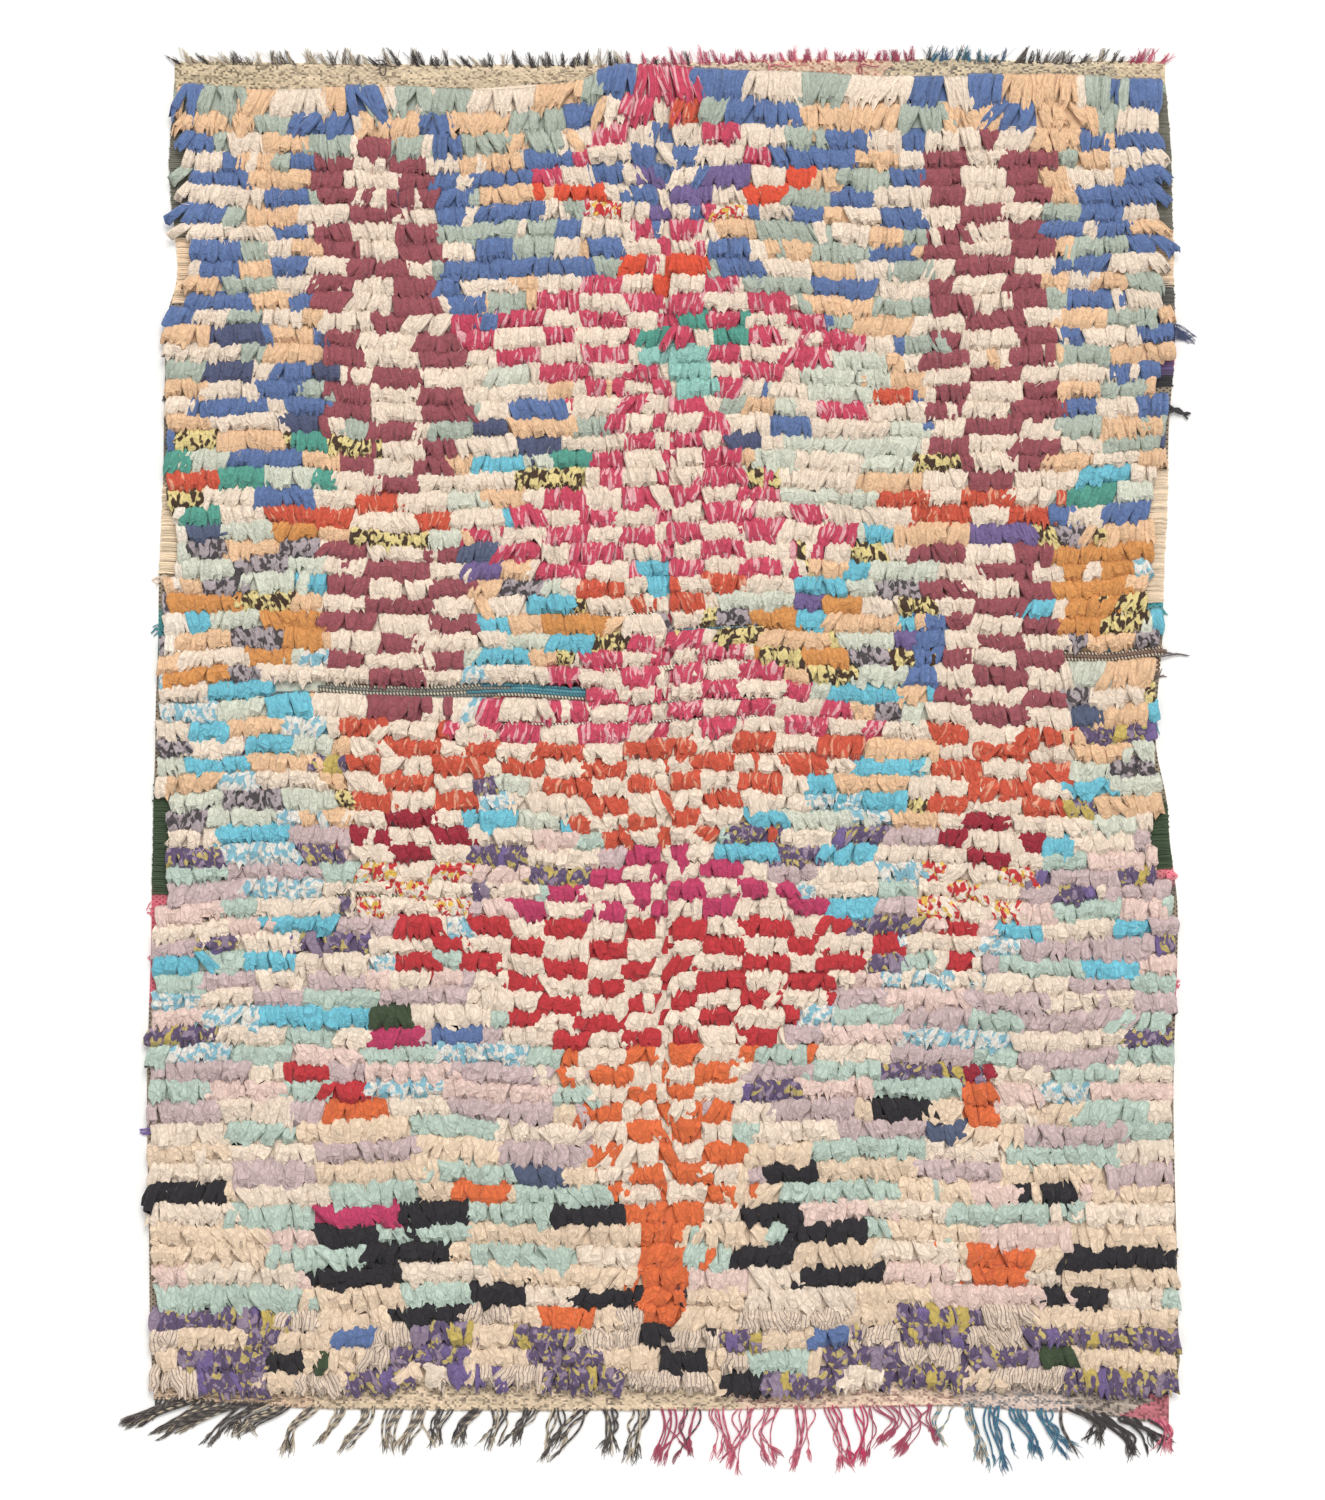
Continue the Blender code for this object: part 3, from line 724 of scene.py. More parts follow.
    def _lay_lozenges(self) -> None:
        """Lays the lozenges: chequers whose cells change places from row to row.

        A lozenge's half width runs straight from its top to its widest row and on to its foot,
        and the last cell of its widest row is dyed. A narrow cell of the other kind runs along
        its middle. A rim narrower than the lozenge leaves a heart of its own cloth inside.
        """
        for shape in LOZENGES:
            tip = int((shape.wide_half - 1.0 + CELL - FIRST_CELL) // CELL) + shape.wide
            for row in range(shape.top, shape.foot + 1):
                halves = (shape.top_half, shape.wide_half, shape.foot_half)
                half = np.interp(row, (shape.top, shape.wide, shape.foot), halves)
                for side in Side:
                    away = (self.knots - LOZENGE_MIDDLE) * side.value
                    start = CELL - FIRST_CELL + self.rng.normal(0.0, 0.3)
                    cell = np.floor((away + start) / CELL)
                    inside = (away >= 0.0) & (away < half + self.rng.normal(0.0, 0.5))
                    dyed = ((cell + row - tip) % 2 == 0) ^ (away < CENTRE_CELL)
                    heart = away < half - shape.rim
                    cloth = shape.low_cloth if row >= shape.low_row else shape.cloth
                    tag = 80 + int(side.value > 0) * 20
                    self._mark(row, inside, "cream", tag)
                    self._mark(row, inside & dyed & ~heart, cloth, tag + 1)
                    self._mark(row, inside & dyed & heart, shape.heart, tag + 2)
                    if shape.rim == 0.0:
                        self._mark(row, inside, cloth, tag + 3)

    def _lay_accents(self) -> None:
        """Lays the single blocks."""
        for accent in ACCENTS:
            for row in range(accent.row, accent.row + accent.rows):
                shift = self.rng.normal(0.0, 0.35)
                here = np.abs(self.knots - accent.middle - shift) < accent.half
                self._mark(row, here, accent.cloth, 120)


# Meshes


def new_piece(name: str, points: np.ndarray, faces: Sequence[np.ndarray]) -> bpy.types.Object:
    """Makes an object from arrays.

    Args:
        name: the piece's name.
        points: the vertices, as an array whose last axis is X, Y and Z from the cloth's middle.
        faces: arrays of faces, each with one row of vertex numbers for each face.

    Returns:
        The object, at the origin, with its place in its mesh.
    """
    places = points.reshape(-1, 3).astype(np.float32)
    places[:, :2] += np.float32(CLOTH_MIDDLE)
    sides = np.concatenate([np.full(len(group), group.shape[1]) for group in faces])
    starts = np.concatenate([[0], np.cumsum(sides)[:-1]])
    corners = np.concatenate([group.ravel() for group in faces])
    mesh = bpy.data.meshes.new(name)
    mesh.vertices.add(len(places))
    mesh.loops.add(len(corners))
    mesh.polygons.add(len(sides))
    mesh.vertices.foreach_set("co", places.ravel())
    mesh.loops.foreach_set("vertex_index", corners.astype(np.int32))
    mesh.polygons.foreach_set("loop_start", starts.astype(np.int32))
    mesh.polygons.foreach_set("loop_total", sides.astype(np.int32))
    mesh.update(calc_edges=True)
    mesh.validate()
    obj = bpy.data.objects.new(name, mesh)
    bpy.context.scene.collection.objects.link(obj)
    return obj


def smooth(obj: bpy.types.Object, angle: float) -> None:
    """Shades an object smooth but for edges that turn more than an angle in degrees."""
    obj.data.shade_smooth()
    obj.data.set_sharp_from_angle(angle=np.radians(angle))


def add_colors(obj: bpy.types.Object, name: str, colors: np.ndarray) -> None:
    """Adds a colour attribute: linear red, green, blue and alpha for each vertex."""
    layer = obj.data.color_attributes.new(name=name, type="FLOAT_COLOR", domain="POINT")
    layer.data.foreach_set("color", colors.reshape(-1).astype(np.float32))


def add_face_colors(obj: bpy.types.Object, name: str, colors: np.ndarray) -> None:
    """Adds a colour attribute: one colour for each face of four corners."""
    layer = obj.data.color_attributes.new(name=name, type="FLOAT_COLOR", domain="CORNER")
    layer.data.foreach_set("color", np.repeat(colors, 4, axis=0).reshape(-1).astype(np.float32))


def add_map(obj: bpy.types.Object, name: str, places: np.ndarray) -> None:
    """Adds a flat map: U and V for each face corner, in the order of the loops."""
    layer = obj.data.uv_layers.new(name=name)
    layer.data.foreach_set("uv", places.reshape(-1).astype(np.float32))


def tube_faces(tubes: int, rings: int, sides: int) -> list[np.ndarray]:
    """Faces of many closed tubes with the same numbers of rings and sides.

    Args:
        tubes: how many tubes.
        rings: rings of each.
        sides: points of each ring, in order around the direction in which the tube runs.

    Returns:
        The walls as quads and the two ends of each tube as one face each, all facing out.
    """
    ring, side = np.meshgrid(np.arange(rings - 1) * sides, np.arange(sides), indexing="ij")
    after = (side + 1) % sides
    quad = [ring + side, ring + after, ring + sides + after, ring + sides + side]
    ends = [np.arange(sides)[::-1], np.arange(sides) + (rings - 1) * sides]
    starts = np.arange(tubes)[:, None, None] * rings * sides
    walls = (np.stack(quad, axis=-1).reshape(1, -1, 4) + starts).reshape(-1, 4)
    return [walls, (np.stack(ends)[None] + starts).reshape(-1, sides)]


def yarn_points(paths: np.ndarray, radii: np.ndarray, sides: int) -> np.ndarray:
    """Surface points of thin tubes that lie along paths.

    Args:
        paths: centre points, as tubes by rings by 3.
        radii: radius at each ring.
        sides: points of each ring.

    Returns:
        The points, as tubes by rings by sides by 3. A ring's point is the centre plus
        radius * (cos a * aside + sin a * up), where aside and up are square to the path.
    """
    run = np.gradient(paths, axis=1)
    run /= np.linalg.norm(run, axis=-1, keepdims=True) + 1e-9
    aside = np.cross(run, np.array([0.0, 0.0, 1.0]))
    aside /= np.linalg.norm(aside, axis=-1, keepdims=True) + 1e-9
    up = np.cross(aside, run)
    turn = 2.0 * np.pi * np.arange(sides) / sides
    across = np.cos(turn)[:, None] * aside[:, :, None] + np.sin(turn)[:, None] * up[:, :, None]
    return paths[:, :, None] + across * radii[:, :, None, None]


# Materials


class Sockets:
    """Short ways to add and join nodes in one node tree."""

    def __init__(self, tree: bpy.types.NodeTree) -> None:
        """Keeps the tree."""
        self.tree = tree

    def node(self, kind: str, given: dict | None = None, **settings: object) -> bpy.types.Node:
        """Adds a node, sets it up and feeds it.

        Args:
            kind: the last part of the shader node's type.
            given: what its inputs take, by name or number.
            settings: its properties.

        Returns:
            The node.
        """
        node = self.tree.nodes.new(f"ShaderNode{kind}")
        for name, value in settings.items():
            setattr(node, name, value)
        for name, value in (given or {}).items():
            self.feed(value, node.inputs[name])
        return node

    def feed(self, source: object, target: bpy.types.NodeSocket) -> None:
        """Joins an input to an output socket, or sets it to a plain value."""
        if isinstance(source, bpy.types.NodeSocket):
            self.tree.links.new(source, target)
        else:
            target.default_value = source

    def math(self, operation: str, *values: object) -> bpy.types.NodeSocket:
        """The output of a Math node, given its operation and its inputs."""
        return self.node("Math", dict(enumerate(values)), operation=operation).outputs[0]

    def vector(self, operation: str, place: object, by: object) -> bpy.types.NodeSocket:
        """The output of a Vector Math node, given a place and a vector or a scale."""
        second = "Scale" if operation == "SCALE" else 1
        return self.node("VectorMath", {0: place, second: by}, operation=operation).outputs[0]

    def mix(self, share: object, first: object, second: object) -> bpy.types.NodeSocket:
        """Mixes two colours.

        Args:
            share: how much of the second.
            first: the first colour.
            second: the second colour.

        Returns:
            The mixed colour.
        """
        node = self.node("Mix", {"Factor": share}, data_type="RGBA", clamp_factor=True)
        inner = [s for s in node.inputs if s.type == "RGBA"]
        self.feed(first, inner[0])
        self.feed(second, inner[1])
        return next(s for s in node.outputs if s.type == "RGBA")

    def noise(self, place: object, scale: float, detail: float = 2.0) -> bpy.types.NodeSocket:
        """The value of a Noise texture, about 0.5 on average. Its scale is per metre."""
        given = {"Vector": place, "Scale": scale, "Detail": detail}
        return self.node("TexNoise", given).outputs["Fac"]

    def steep(self, value: object, low: float, high: float) -> bpy.types.NodeSocket:
        """A mask that eases from 0 at the low value to 1 at the high one."""
        given = {"Value": value, "From Min": low, "From Max": high}
        return self.node("MapRange", given, interpolation_type="SMOOTHSTEP").outputs["Result"]


class Group(Sockets):
    """A shader group under way, with its inner inputs and outputs by name."""

    def __init__(self, name: str, takes: dict[str, str], gives: dict[str, str]) -> None:
        """Starts the group.

        Args:
            name: its name.
            takes: its inputs and their types: Color, Float or Vector.
            gives: its outputs and their types.
        """
        super().__init__(bpy.data.node_groups.new(name, "ShaderNodeTree"))
        for way, sockets in (("INPUT", takes), ("OUTPUT", gives)):
            for socket, kind in sockets.items():
                self.tree.interface.new_socket(
                    name=socket, in_out=way, socket_type=f"NodeSocket{kind}"
                )
        source = self.tree.nodes.new("NodeGroupInput")
        target = self.tree.nodes.new("NodeGroupOutput")
        self.given = {s.name: s for s in source.outputs}
        self.out = {s.name: s for s in target.inputs}


@dataclass
class ClothShaders:
    """Shader groups that several cloths use.

    A fold size is the folds' width, length and depth. Lengths are in metres, and mottle and
    fade are scales for each metre.
    """

    fold_sizes: tuple[tuple[float, float, float], ...] = (
        (0.0046, 0.0150, 0.0050),
        (0.0058, 0.0062, 0.0030),
    )
    crease_size: float = 0.0105
    crease_depth: float = 0.0014
    mottle: float = 150.0
    fade: float = 9.0

    def build(self) -> None:
        """Makes every group."""
        self.worn_and_shaded = self._worn()
        self.folds = self._folds()
        self.prints = {kind: self._print(kind) for kind in Print if kind is not Print.PLAIN}

    def _worn(self) -> bpy.types.NodeTree:
        """A group that fades a cloth unevenly and paints shade in its folds and at its root.

        Returns:
            The group: it takes a colour, a random tone from -1 to 1, a depth from 0 at the root to
                1
            at the top of the strip, a painted fold shade from 0 in a valley to 1 on a fold's top
            and a place, and gives the worn colour with painted shade, and its roughness.
        """
        takes = {"Dye": "Color", "Shade": "Float", "Depth": "Float", "Fold": "Float",
                 "Place": "Vector"}
        made = Group("worn_cloth", takes, {"Color": "Color", "Roughness": "Float"})
        given = made.given
        mottle = made.noise(given["Place"], self.mottle, 3.0)
        fade = made.noise(given["Place"], self.fade, 2.0)
        value = made.math("MULTIPLY_ADD", given["Shade"], 0.085, 0.90)
        value = made.math("MULTIPLY_ADD", mottle, 0.26, value)
        value = made.math("MULTIPLY_ADD", fade, 0.10, value)
        # Painted shade: the colour darkens towards the strip's root, to 0.54 of itself at depth 0.
        painted_root_shade = made.steep(given["Depth"], 0.0, 0.72)
        value = made.math("MULTIPLY", value, made.math("MULTIPLY_ADD", painted_root_shade, 0.46, 0.54))
        # Painted shade in the valleys of the folds and along the creases.
        fold = made.math("MULTIPLY_ADD", given["Fold"], 0.42, 0.60)
        value = made.math("MULTIPLY", value, fold)
        tint = made.node("HueSaturation", {"Color": given["Dye"], "Value": value})
        made.feed(tint.outputs["Color"], made.out["Color"])
        made.feed(made.math("MULTIPLY_ADD", mottle, 0.16, 0.78), made.out["Roughness"])
        return made.tree

    def _folds(self) -> bpy.types.NodeTree:
        """A group with the creases and threads of a rag strip.

        Returns:
            The group: it takes a place on the strip, in metres across and along it, and gives
            a height in metres and a painted crease shade from 0 in a crease to 1 elsewhere. Creases
            are the troughs of noise drawn out along the strip, and, by the share of crumpling, the
            edges of cells.
        """
        takes = {"Strip": "Vector", "Crumple": "Float"}
        made = Group("rag_folds", takes, {"Height": "Float", "Fold": "Float"})
        strip, height, folds = made.given["Strip"], 0.0, 1.0
        for across, along, depth in self.fold_sizes:
            place = made.vector("MULTIPLY", strip, (1.0 / across, 1.0 / along, 1.0))
            value = made.noise(place, 1.0, 1.0)
            trough = made.math("ABSOLUTE", made.math("SUBTRACT", value, 0.5))
            height = made.math("MULTIPLY_ADD", trough, depth, height)
            # Painted crease shade: dark in the troughs of the noise.
            folds = made.math("MULTIPLY", folds, made.steep(trough, 0.0, 0.055))
        given = {"Vector": strip, "Scale": 1.0 / self.crease_size}
        cells = made.node("TexVoronoi", given, feature="DISTANCE_TO_EDGE")
        crack = made.steep(cells.outputs["Distance"], 0.01, 0.13)
        height = made.math("MULTIPLY_ADD", crack, self.crease_depth, height)
        # Painted crease shade along the edges of the cells, by the share of crumpling.
        gap = made.math("MULTIPLY", made.math("SUBTRACT", 1.0, crack), made.given["Crumple"])
        folds = made.math("MULTIPLY", folds, made.math("SUBTRACT", 1.0, gap))
        made.feed(height, made.out["Height"])
        made.feed(folds, made.out["Fold"])
        return made.tree

    def _print(self, kind: Print) -> bpy.types.NodeTree:
        """A group with one kind of print.

        Args:
            kind: which print.

        Returns:
            The group: it takes two or three colours, a place on the strip in metres and a motif
            scale, and gives the printed colour. Blotches are noise above a level, streaks are
            noise drawn out along the strip, pinstripes are waves across it, and a floral or a
            scrap print lays a third colour over the blotches.
        """
        takes = {"Dye": "Color", "Second": "Color", "Third": "Color", "Place": "Vector",
                 "Scale": "Float", "Level": "Float"}
        made = Group(f"{kind.value}_print", takes, {"Color": "Color"})
        given = made.given
        shape = (1.0, 0.22, 1.0) if kind is Print.STREAKED else (1.0, 1.0, 1.0)
        place = made.vector("MULTIPLY", given["Place"], shape)
        place = made.vector("SCALE", place, given["Scale"])
        if kind is Print.PINSTRIPED:
            waves = {"Vector": place, "Scale": 0.5, "Distortion": 1.2}
            value = made.node("TexWave", waves, bands_direction="X").outputs["Fac"]
            edge = 0.10
        else:
            value = made.noise(place, 1.0, 1.0)
            edge = 0.03
        mask = made.steep(made.math("SUBTRACT", value, given["Level"]), -edge, edge)
        color = made.mix(mask, given["Dye"], given["Second"])
        if kind in (Print.FLORAL, Print.SCRAPS):
            other = made.noise(made.vector("ADD", place, (7.3, 2.1, 4.4)), 1.1, 1.0)
            color = made.mix(made.steep(other, 0.57, 0.61), color, given["Third"])
        made.feed(color, made.out["Color"])
        return made.tree


class Dressing(Sockets):
    """A material under way: its nodes, its shader and the places on the piece."""

    def __init__(self, name: str, shaders: ClothShaders) -> None:
        """Starts the material.

        Args:
            name: its name.
            shaders: the shared groups.
        """
        self.material = bpy.data.materials.new(name)
        self.material.use_nodes = True
        super().__init__(self.material.node_tree)
        self.shaders = shaders
        self.shader = self.tree.nodes["Principled BSDF"]
        self.place = self.node("TexCoord").outputs["Object"]

    def attribute(self, name: str) -> bpy.types.NodeSocket:
        """The colour of an attribute."""
        return self.node("Attribute", attribute_name=name).outputs["Color"]

    def on_map(self, name: str) -> bpy.types.NodeSocket:
        """The place on one of the piece's maps."""
        return self.node("UVMap", uv_map=name).outputs["UV"]

    def wear_and_shade(self, dye: object, **given: object) -> None:
        """Brings a dye to the shader as worn cloth with painted shade by depth and folds.

        Args:
            dye: the colour.
            given: what else the worn cloth takes, by name.
        """
        given = {"Dye": dye, "Place": self.place, **given}
        worn_and_shaded = self.node("Group", given, node_tree=self.shaders.worn_and_shaded)
        self.feed(worn_and_shaded.outputs["Color"], self.shader.inputs["Base Color"])
        self.feed(worn_and_shaded.outputs["Roughness"], self.shader.inputs["Roughness"])

    def emboss(self, height: object, strength: float, distance: float = 1.0) -> None:
        """Gives the shader a relief, with a distance in metres per unit of height."""
        given = {"Height": height, "Strength": strength, "Distance": distance}
        self.feed(self.node("Bump", given).outputs["Normal"], self.shader.inputs["Normal"])

    def done(self, **values: float) -> bpy.types.Material:
        """Sets plain values of the shader.

        Args:
            values: the values, by the sockets' names in small letters joined by underlines.

        Returns:
            The material.
        """
        named = {s.name.lower().replace(" ", "_"): s for s in self.shader.inputs}
        for name, value in values.items():
            named[name].default_value = value
        return self.material


@dataclass(frozen=True)
class RagFinish:
    """Dresses a rag cloth as a material."""

    cloth: RagCloth
    shaders: ClothShaders

    def material(self) -> bpy.types.Material:
        """Builds the material.

        Returns:
            The material: the cloth's dye and print, worn and given painted shade by the strip's
            own attributes in its folds, pleats and root, with creases and threads as bump.
        """
        made = Dressing(f"rag_{self.cloth.name}", self.shaders)
        made.material.diffuse_color = linear(self.cloth.dye)
        strip, knot = made.on_map("strip"), made.attribute("knot")
        parts = made.node("SeparateColor", {"Color": knot}).outputs
        color = linear(self.cloth.dye)
        if self.cloth.print_kind is not Print.PLAIN:
            color = self._printed(made, strip)
        given = {"Strip": strip, "Crumple": knot.node.outputs["Alpha"]}
        folds = made.node("Group", given, node_tree=self.shaders.folds).outputs
        # Painted shade of folds and pleats: the crease mask and the pleat shade from the knot's
        # blue.
        painted_fold_shade = made.math("MULTIPLY", folds["Fold"], 0.45)
        painted_fold_shade = made.math("MULTIPLY_ADD", parts["Blue"], 0.55, painted_fold_shade)
        shade = made.math("MULTIPLY_ADD", parts["Red"], 2.0, -1.0)
        made.wear_and_shade(color, Fold=painted_fold_shade, Shade=shade, Depth=parts["Green"])
        made.emboss(folds["Height"], 0.6)
        return made.done(specular_ior_level=0.25, sheen_weight=self.cloth.sheen,
                         sheen_roughness=0.5)

    def _printed(self, made: Dressing, strip: bpy.types.NodeSocket) -> bpy.types.NodeSocket:
        """Adds the cloth's print.

        Args:
            made: the material under way.
            strip: the place on the strip.

        Returns:
            The printed colour.
        """
        level = 0.5 + (0.5 - self.cloth.cover) * 0.36
        if self.cloth.print_kind is Print.PINSTRIPED:
            level = 1.0 - self.cloth.cover
        given = {
            "Dye": linear(self.cloth.dye), "Second": linear(self.cloth.second),
            "Third": linear(self.cloth.third), "Place": strip,
            "Scale": 1.0 / self.cloth.motif, "Level": level,
        }
        group = self.shaders.prints[self.cloth.print_kind]
        return made.node("Group", given, node_tree=group).outputs["Color"]


# The pile


@dataclass(frozen=True)
class StripSection:
    """One ring of a rag strip.

    along and height are shares of the row's pitch and of the pile's height, width and depth
    shares of the strip's half width and half thickness.
    """

    along: float
    height: float
    width: float
    depth: float


STRIP_SECTIONS = tuple(StripSection(*one) for one in (
    (-0.02, 0.30, 0.80, 0.80), (0.05, 0.62, 1.00, 1.00), (0.40, 0.88, 1.04, 1.05),
    (0.78, 0.85, 1.04, 0.90), (1.04, 0.66, 0.90, 0.45),
))
RING_ANGLES = (176.0, 132.0, 90.0, 48.0, 4.0, -90.0)
RINGS, RING_POINTS = len(STRIP_SECTIONS), len(RING_ANGLES)


@dataclass
class PileRoots:
    """The close roots of the pile: a low bumpy layer that shows between the strips.

    It has one field for each knot, dyed like the strips that rise from it, and its material
    paints it a little darker as shade.
    """

    chart: Chart
    shaders: ClothShaders
    height: float = 0.0108
    rim_height: float = 0.0050
    bare_height: float = 0.0062

    def build(self) -> bpy.types.Object:
        """Makes and dresses the layer.

        Returns:
            The object.
        """
        roots, pitches = row_roots()
        lines = np.append(roots, roots[-1] - pitches[-1])[:, None]
        share = spread(KNOTS + 1)
        left, right = side_edge(Side.LOW, lines), side_edge(Side.HIGH, lines)
        inset = SELVAGE * 1.05
        x = left + inset + (right - left - 2.0 * inset) * share
        y = lines + wander(x, lines) + row_lift(x, np.arange(ROWS + 1)[:, None])
        z = self.height * (1.0 + 0.14 * smooth_noise(x * 90.0, y * 90.0, SEED + 40))
        for bare in BARE_STRETCHES:
            here = between(in_knots(x[bare.row]), bare.left, bare.right)
            z[bare.row : bare.row + 2, here] = self.bare_height
        z[:, 0] = z[:, -1] = z[0] = z[-1] = self.rim_height
        top = np.stack([x, y, z], axis=-1)
        foot = np.stack([x, y, np.full_like(z, WEAVE * 0.7)], axis=-1)
        piece = slab("pile_roots", top, foot)
        middle_x = 0.25 * (x[1:, 1:] + x[:-1, 1:] + x[1:, :-1] + x[:-1, :-1])
        knot = np.rint(in_knots(middle_x)).astype(int) + MIDDLE_KNOT
        row = np.broadcast_to(np.arange(ROWS)[:, None], knot.shape)
        cloth = self.chart.cloth[row, np.clip(knot, 0, KNOTS - 1)].reshape(-1)
        dyes = np.array([linear(one.dye) for one in CLOTHS])[cloth]
        rim = len(piece.data.polygons) - 2 * len(cloth)
        faces = np.concatenate([dyes, dyes, np.repeat(dyes[:1], rim, axis=0)])
        add_face_colors(piece, "dye", faces)
        # Its depth of 0.50 paints it darker, as shade down between the strips.
        piece.data.materials.append(YarnFinish("rag_roots", 0.50).material(self.shaders))
        smooth(piece, 60.0)
        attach(piece, BODY)
        return piece


@dataclass
class RagPile:
    """The knotted rag strips, as pieces of a few rows each.

    Each strip is a closed tube of five rings and six points. It rises from the ground,
    bulges over and leans down the rug, so that its ragged tip lies on the next row's roots.
    """

    chart: Chart
    shaders: ClothShaders
    strips: int = 153
    rows_in_piece: int = 5
    half_width: float = 0.0076
    half_depth: float = 0.0031
    ragged: float = 0.0038
    edge_gap: float = 0.007
    stray_share: float = 0.025
    offcut_share: float = 0.10
    max_yaw: float = 0.8

    def build(self) -> list[bpy.types.Object]:
        """Makes and dresses all the pieces of pile.

        Returns:
            The pieces, from the top down.
        """
        self.rng = chance(5)
        self._place_strips()
        self._shape_strips()
        materials = [RagFinish(cloth, self.shaders).material() for cloth in CLOTHS]
        pieces = []
        for first in range(0, ROWS, self.rows_in_piece):
            chosen = np.flatnonzero((self.row >= first) & (self.row < first + self.rows_in_piece))
            piece = self._piece(f"pile_rows_{len(pieces) + 1:02d}", chosen)
            for material in materials:
                piece.data.materials.append(material)
            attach(piece, BODY)
            pieces.append(piece)
            LOG.info("%s: %d strips", piece.name, len(chosen))
        return pieces

    def root_lines(self, x: np.ndarray, row: np.ndarray) -> np.ndarray:
        """Height up the rug of the rows' root lines.

        Args:
            x: places across the rug.
            row: the row at each place.

        Returns:
            Y: the straight root line, the shared wander, a slow stray of a few rows together,
            a quicker one of each row alone, the first rows' lift and one more stray towards
            the sides. The row under a bare stretch starts a little higher too.
        """
        roots, pitches = row_roots()
        y = np.append(roots, roots[-1] - pitches[-1])[row]
        y = y + wander(x, y) + 0.0034 * smooth_noise(x * 4.6 + 3.0, row * 0.42, SEED + 1)
        y = y + 0.0034 * smooth_noise(x * 8.5, row * 7.13, SEED + 2)
        y = y + row_lift(x, row)
        outer = eased(np.abs(x), (0.45, 0.78), (0.0, 1.0))
        y = y + 0.0042 * outer * smooth_noise(x * 13.0, row * 0.57, SEED + 6)
        for bare in BARE_STRETCHES:
            here = between(in_knots(x), bare.left, bare.right) & (row == bare.row + 1)
            y = y + np.where(here, 0.24 * pitches[bare.row], 0.0)
        return y

    def _place_strips(self) -> None:
        """Works out where each strip is rooted, its cloth and how it lies."""
        rng = self.rng
        roots, _ = row_roots()
        row, strip = np.meshgrid(np.arange(ROWS), np.arange(self.strips), indexing="ij")
        left, right = side_edge(Side.LOW, roots[row]), side_edge(Side.HIGH, roots[row])
        share = (strip + 0.5 + rng.uniform(-0.26, 0.26, row.shape)) / self.strips
        x = left + self.edge_gap + (right - left - 2.0 * self.edge_gap) * share
        y = self.root_lines(x, row)
        pitch = y - self.root_lines(x, row + 1)
        knot = np.rint(in_knots(x) + rng.normal(0.0, 0.16, x.shape))
        keep = ~self._is_bare(x, roots[row], left, right)
        for bare in BARE_STRETCHES:
            keep &= ~((row == bare.row) & between(knot, bare.left, bare.right))
        strayed = rng.random(x.shape) < self.stray_share
        knot = knot + np.where(strayed, rng.integers(-9, 10, x.shape), 0)
        knot = np.clip(knot.astype(int) + MIDDLE_KNOT, 0, KNOTS - 1)
        _, block = np.unique(self.chart.block[row, knot][keep], return_inverse=True)
        self.row, self.x, self.y, self.pitch = row[keep], x[keep], y[keep], pitch[keep]
        self.cloth = self._offcuts(self.chart.cloth[row, knot][keep])
        self.edge = np.minimum(self.x - left[keep], right[keep] - self.x)
        self.hand = np.where(self.x < 0.0, -1.0, 1.0)

        def by_block(low: float = -1.0) -> np.ndarray:
            """A random value from low to 1 that a block's strips share."""
            return rng.uniform(low, 1.0, block.max() + 1)[block]

        self.y = self.y + 0.0023 * by_block()
        self.block_reach = 0.14 * by_block(-0.45)
        self.height = 1.0 + 0.07 * by_block()
        self.shade = 0.5 * by_block()
        self.shade += 0.5 * rng.uniform(-1.0, 1.0, len(self.x))
        at = self.row.astype(float)
        self.crumple = eased(at, (0, 24, 40, 69), (1.0, 1.2, 2.3, 2.9))
        self.pleated = eased(at, (0, 24, 40, 69), (1.0, 0.9, 0.60, 0.45))
        self.creased = eased(at, (0, 22, 38, 69), (0.12, 0.30, 0.80, 1.0))
        self.spiky = eased(at, (0, 1, 4, 69), (1.0, 1.0, 0.0, 0.0))
        splayed = eased(at, (0, 2, 10, 15, 69), (0.1, 0.9, 0.9, 0.0, 0.0))
        yaw = 0.36 * smooth_noise(self.x * 15.0, self.row * 0.83, SEED + 3) + 0.22 * by_block()
        unruly = 0.155 + 0.07 * self.spiky + 0.045 * (self.crumple - 1.0)
        yaw = np.clip(yaw + unruly * rng.normal(0.0, 1.0, len(at)), -self.max_yaw, self.max_yaw)
        yaw *= 1.0 - 0.65 * bell(self.edge, 0.022) * (1.0 - splayed)
        self.fan = splayed * bell(self.edge, 0.048)
        self.yaw = np.clip(yaw + 0.95 * self.hand * self.fan, -1.0, 1.0)

    def _offcuts(self, cloth: np.ndarray) -> np.ndarray:
        """Swaps some strips of a widely printed cloth for strips of one of its colours.

        Args:
            cloth: each strip's cloth.

        Returns:
            Each strip's cloth, with a share of such strips swapped for each offcut.
        """
        draw = self.rng.random(len(cloth))
        swapped = cloth.copy()
        for number, one in enumerate(CLOTHS):
            for turn, name in enumerate(one.offcuts):
                limits = self.offcut_share * turn, self.offcut_share * (turn + 1)
                swapped[(cloth == number) & between(draw, *limits)] = CLOTH_NUMBER[name]
        return swapped

    @staticmethod
    def _is_bare(
        x: np.ndarray, y: np.ndarray, left: np.ndarray, right: np.ndarray
    ) -> np.ndarray:
        """Which strips would stand on a bare selvage.

        Args:
            x: places across the rug.
            y: the rows' root lines.
            left: the left edge there.
            right: the right edge there.

        Returns:
            True where no strip is tied.
        """
        bare = np.zeros(x.shape, bool)
        for stretch in SELVAGES:
            if stretch.is_bare:
                near = x - left < SELVAGE if stretch.side is Side.LOW else right - x < SELVAGE
                bare |= near & between(y, stretch.bottom, stretch.top)
        return bare

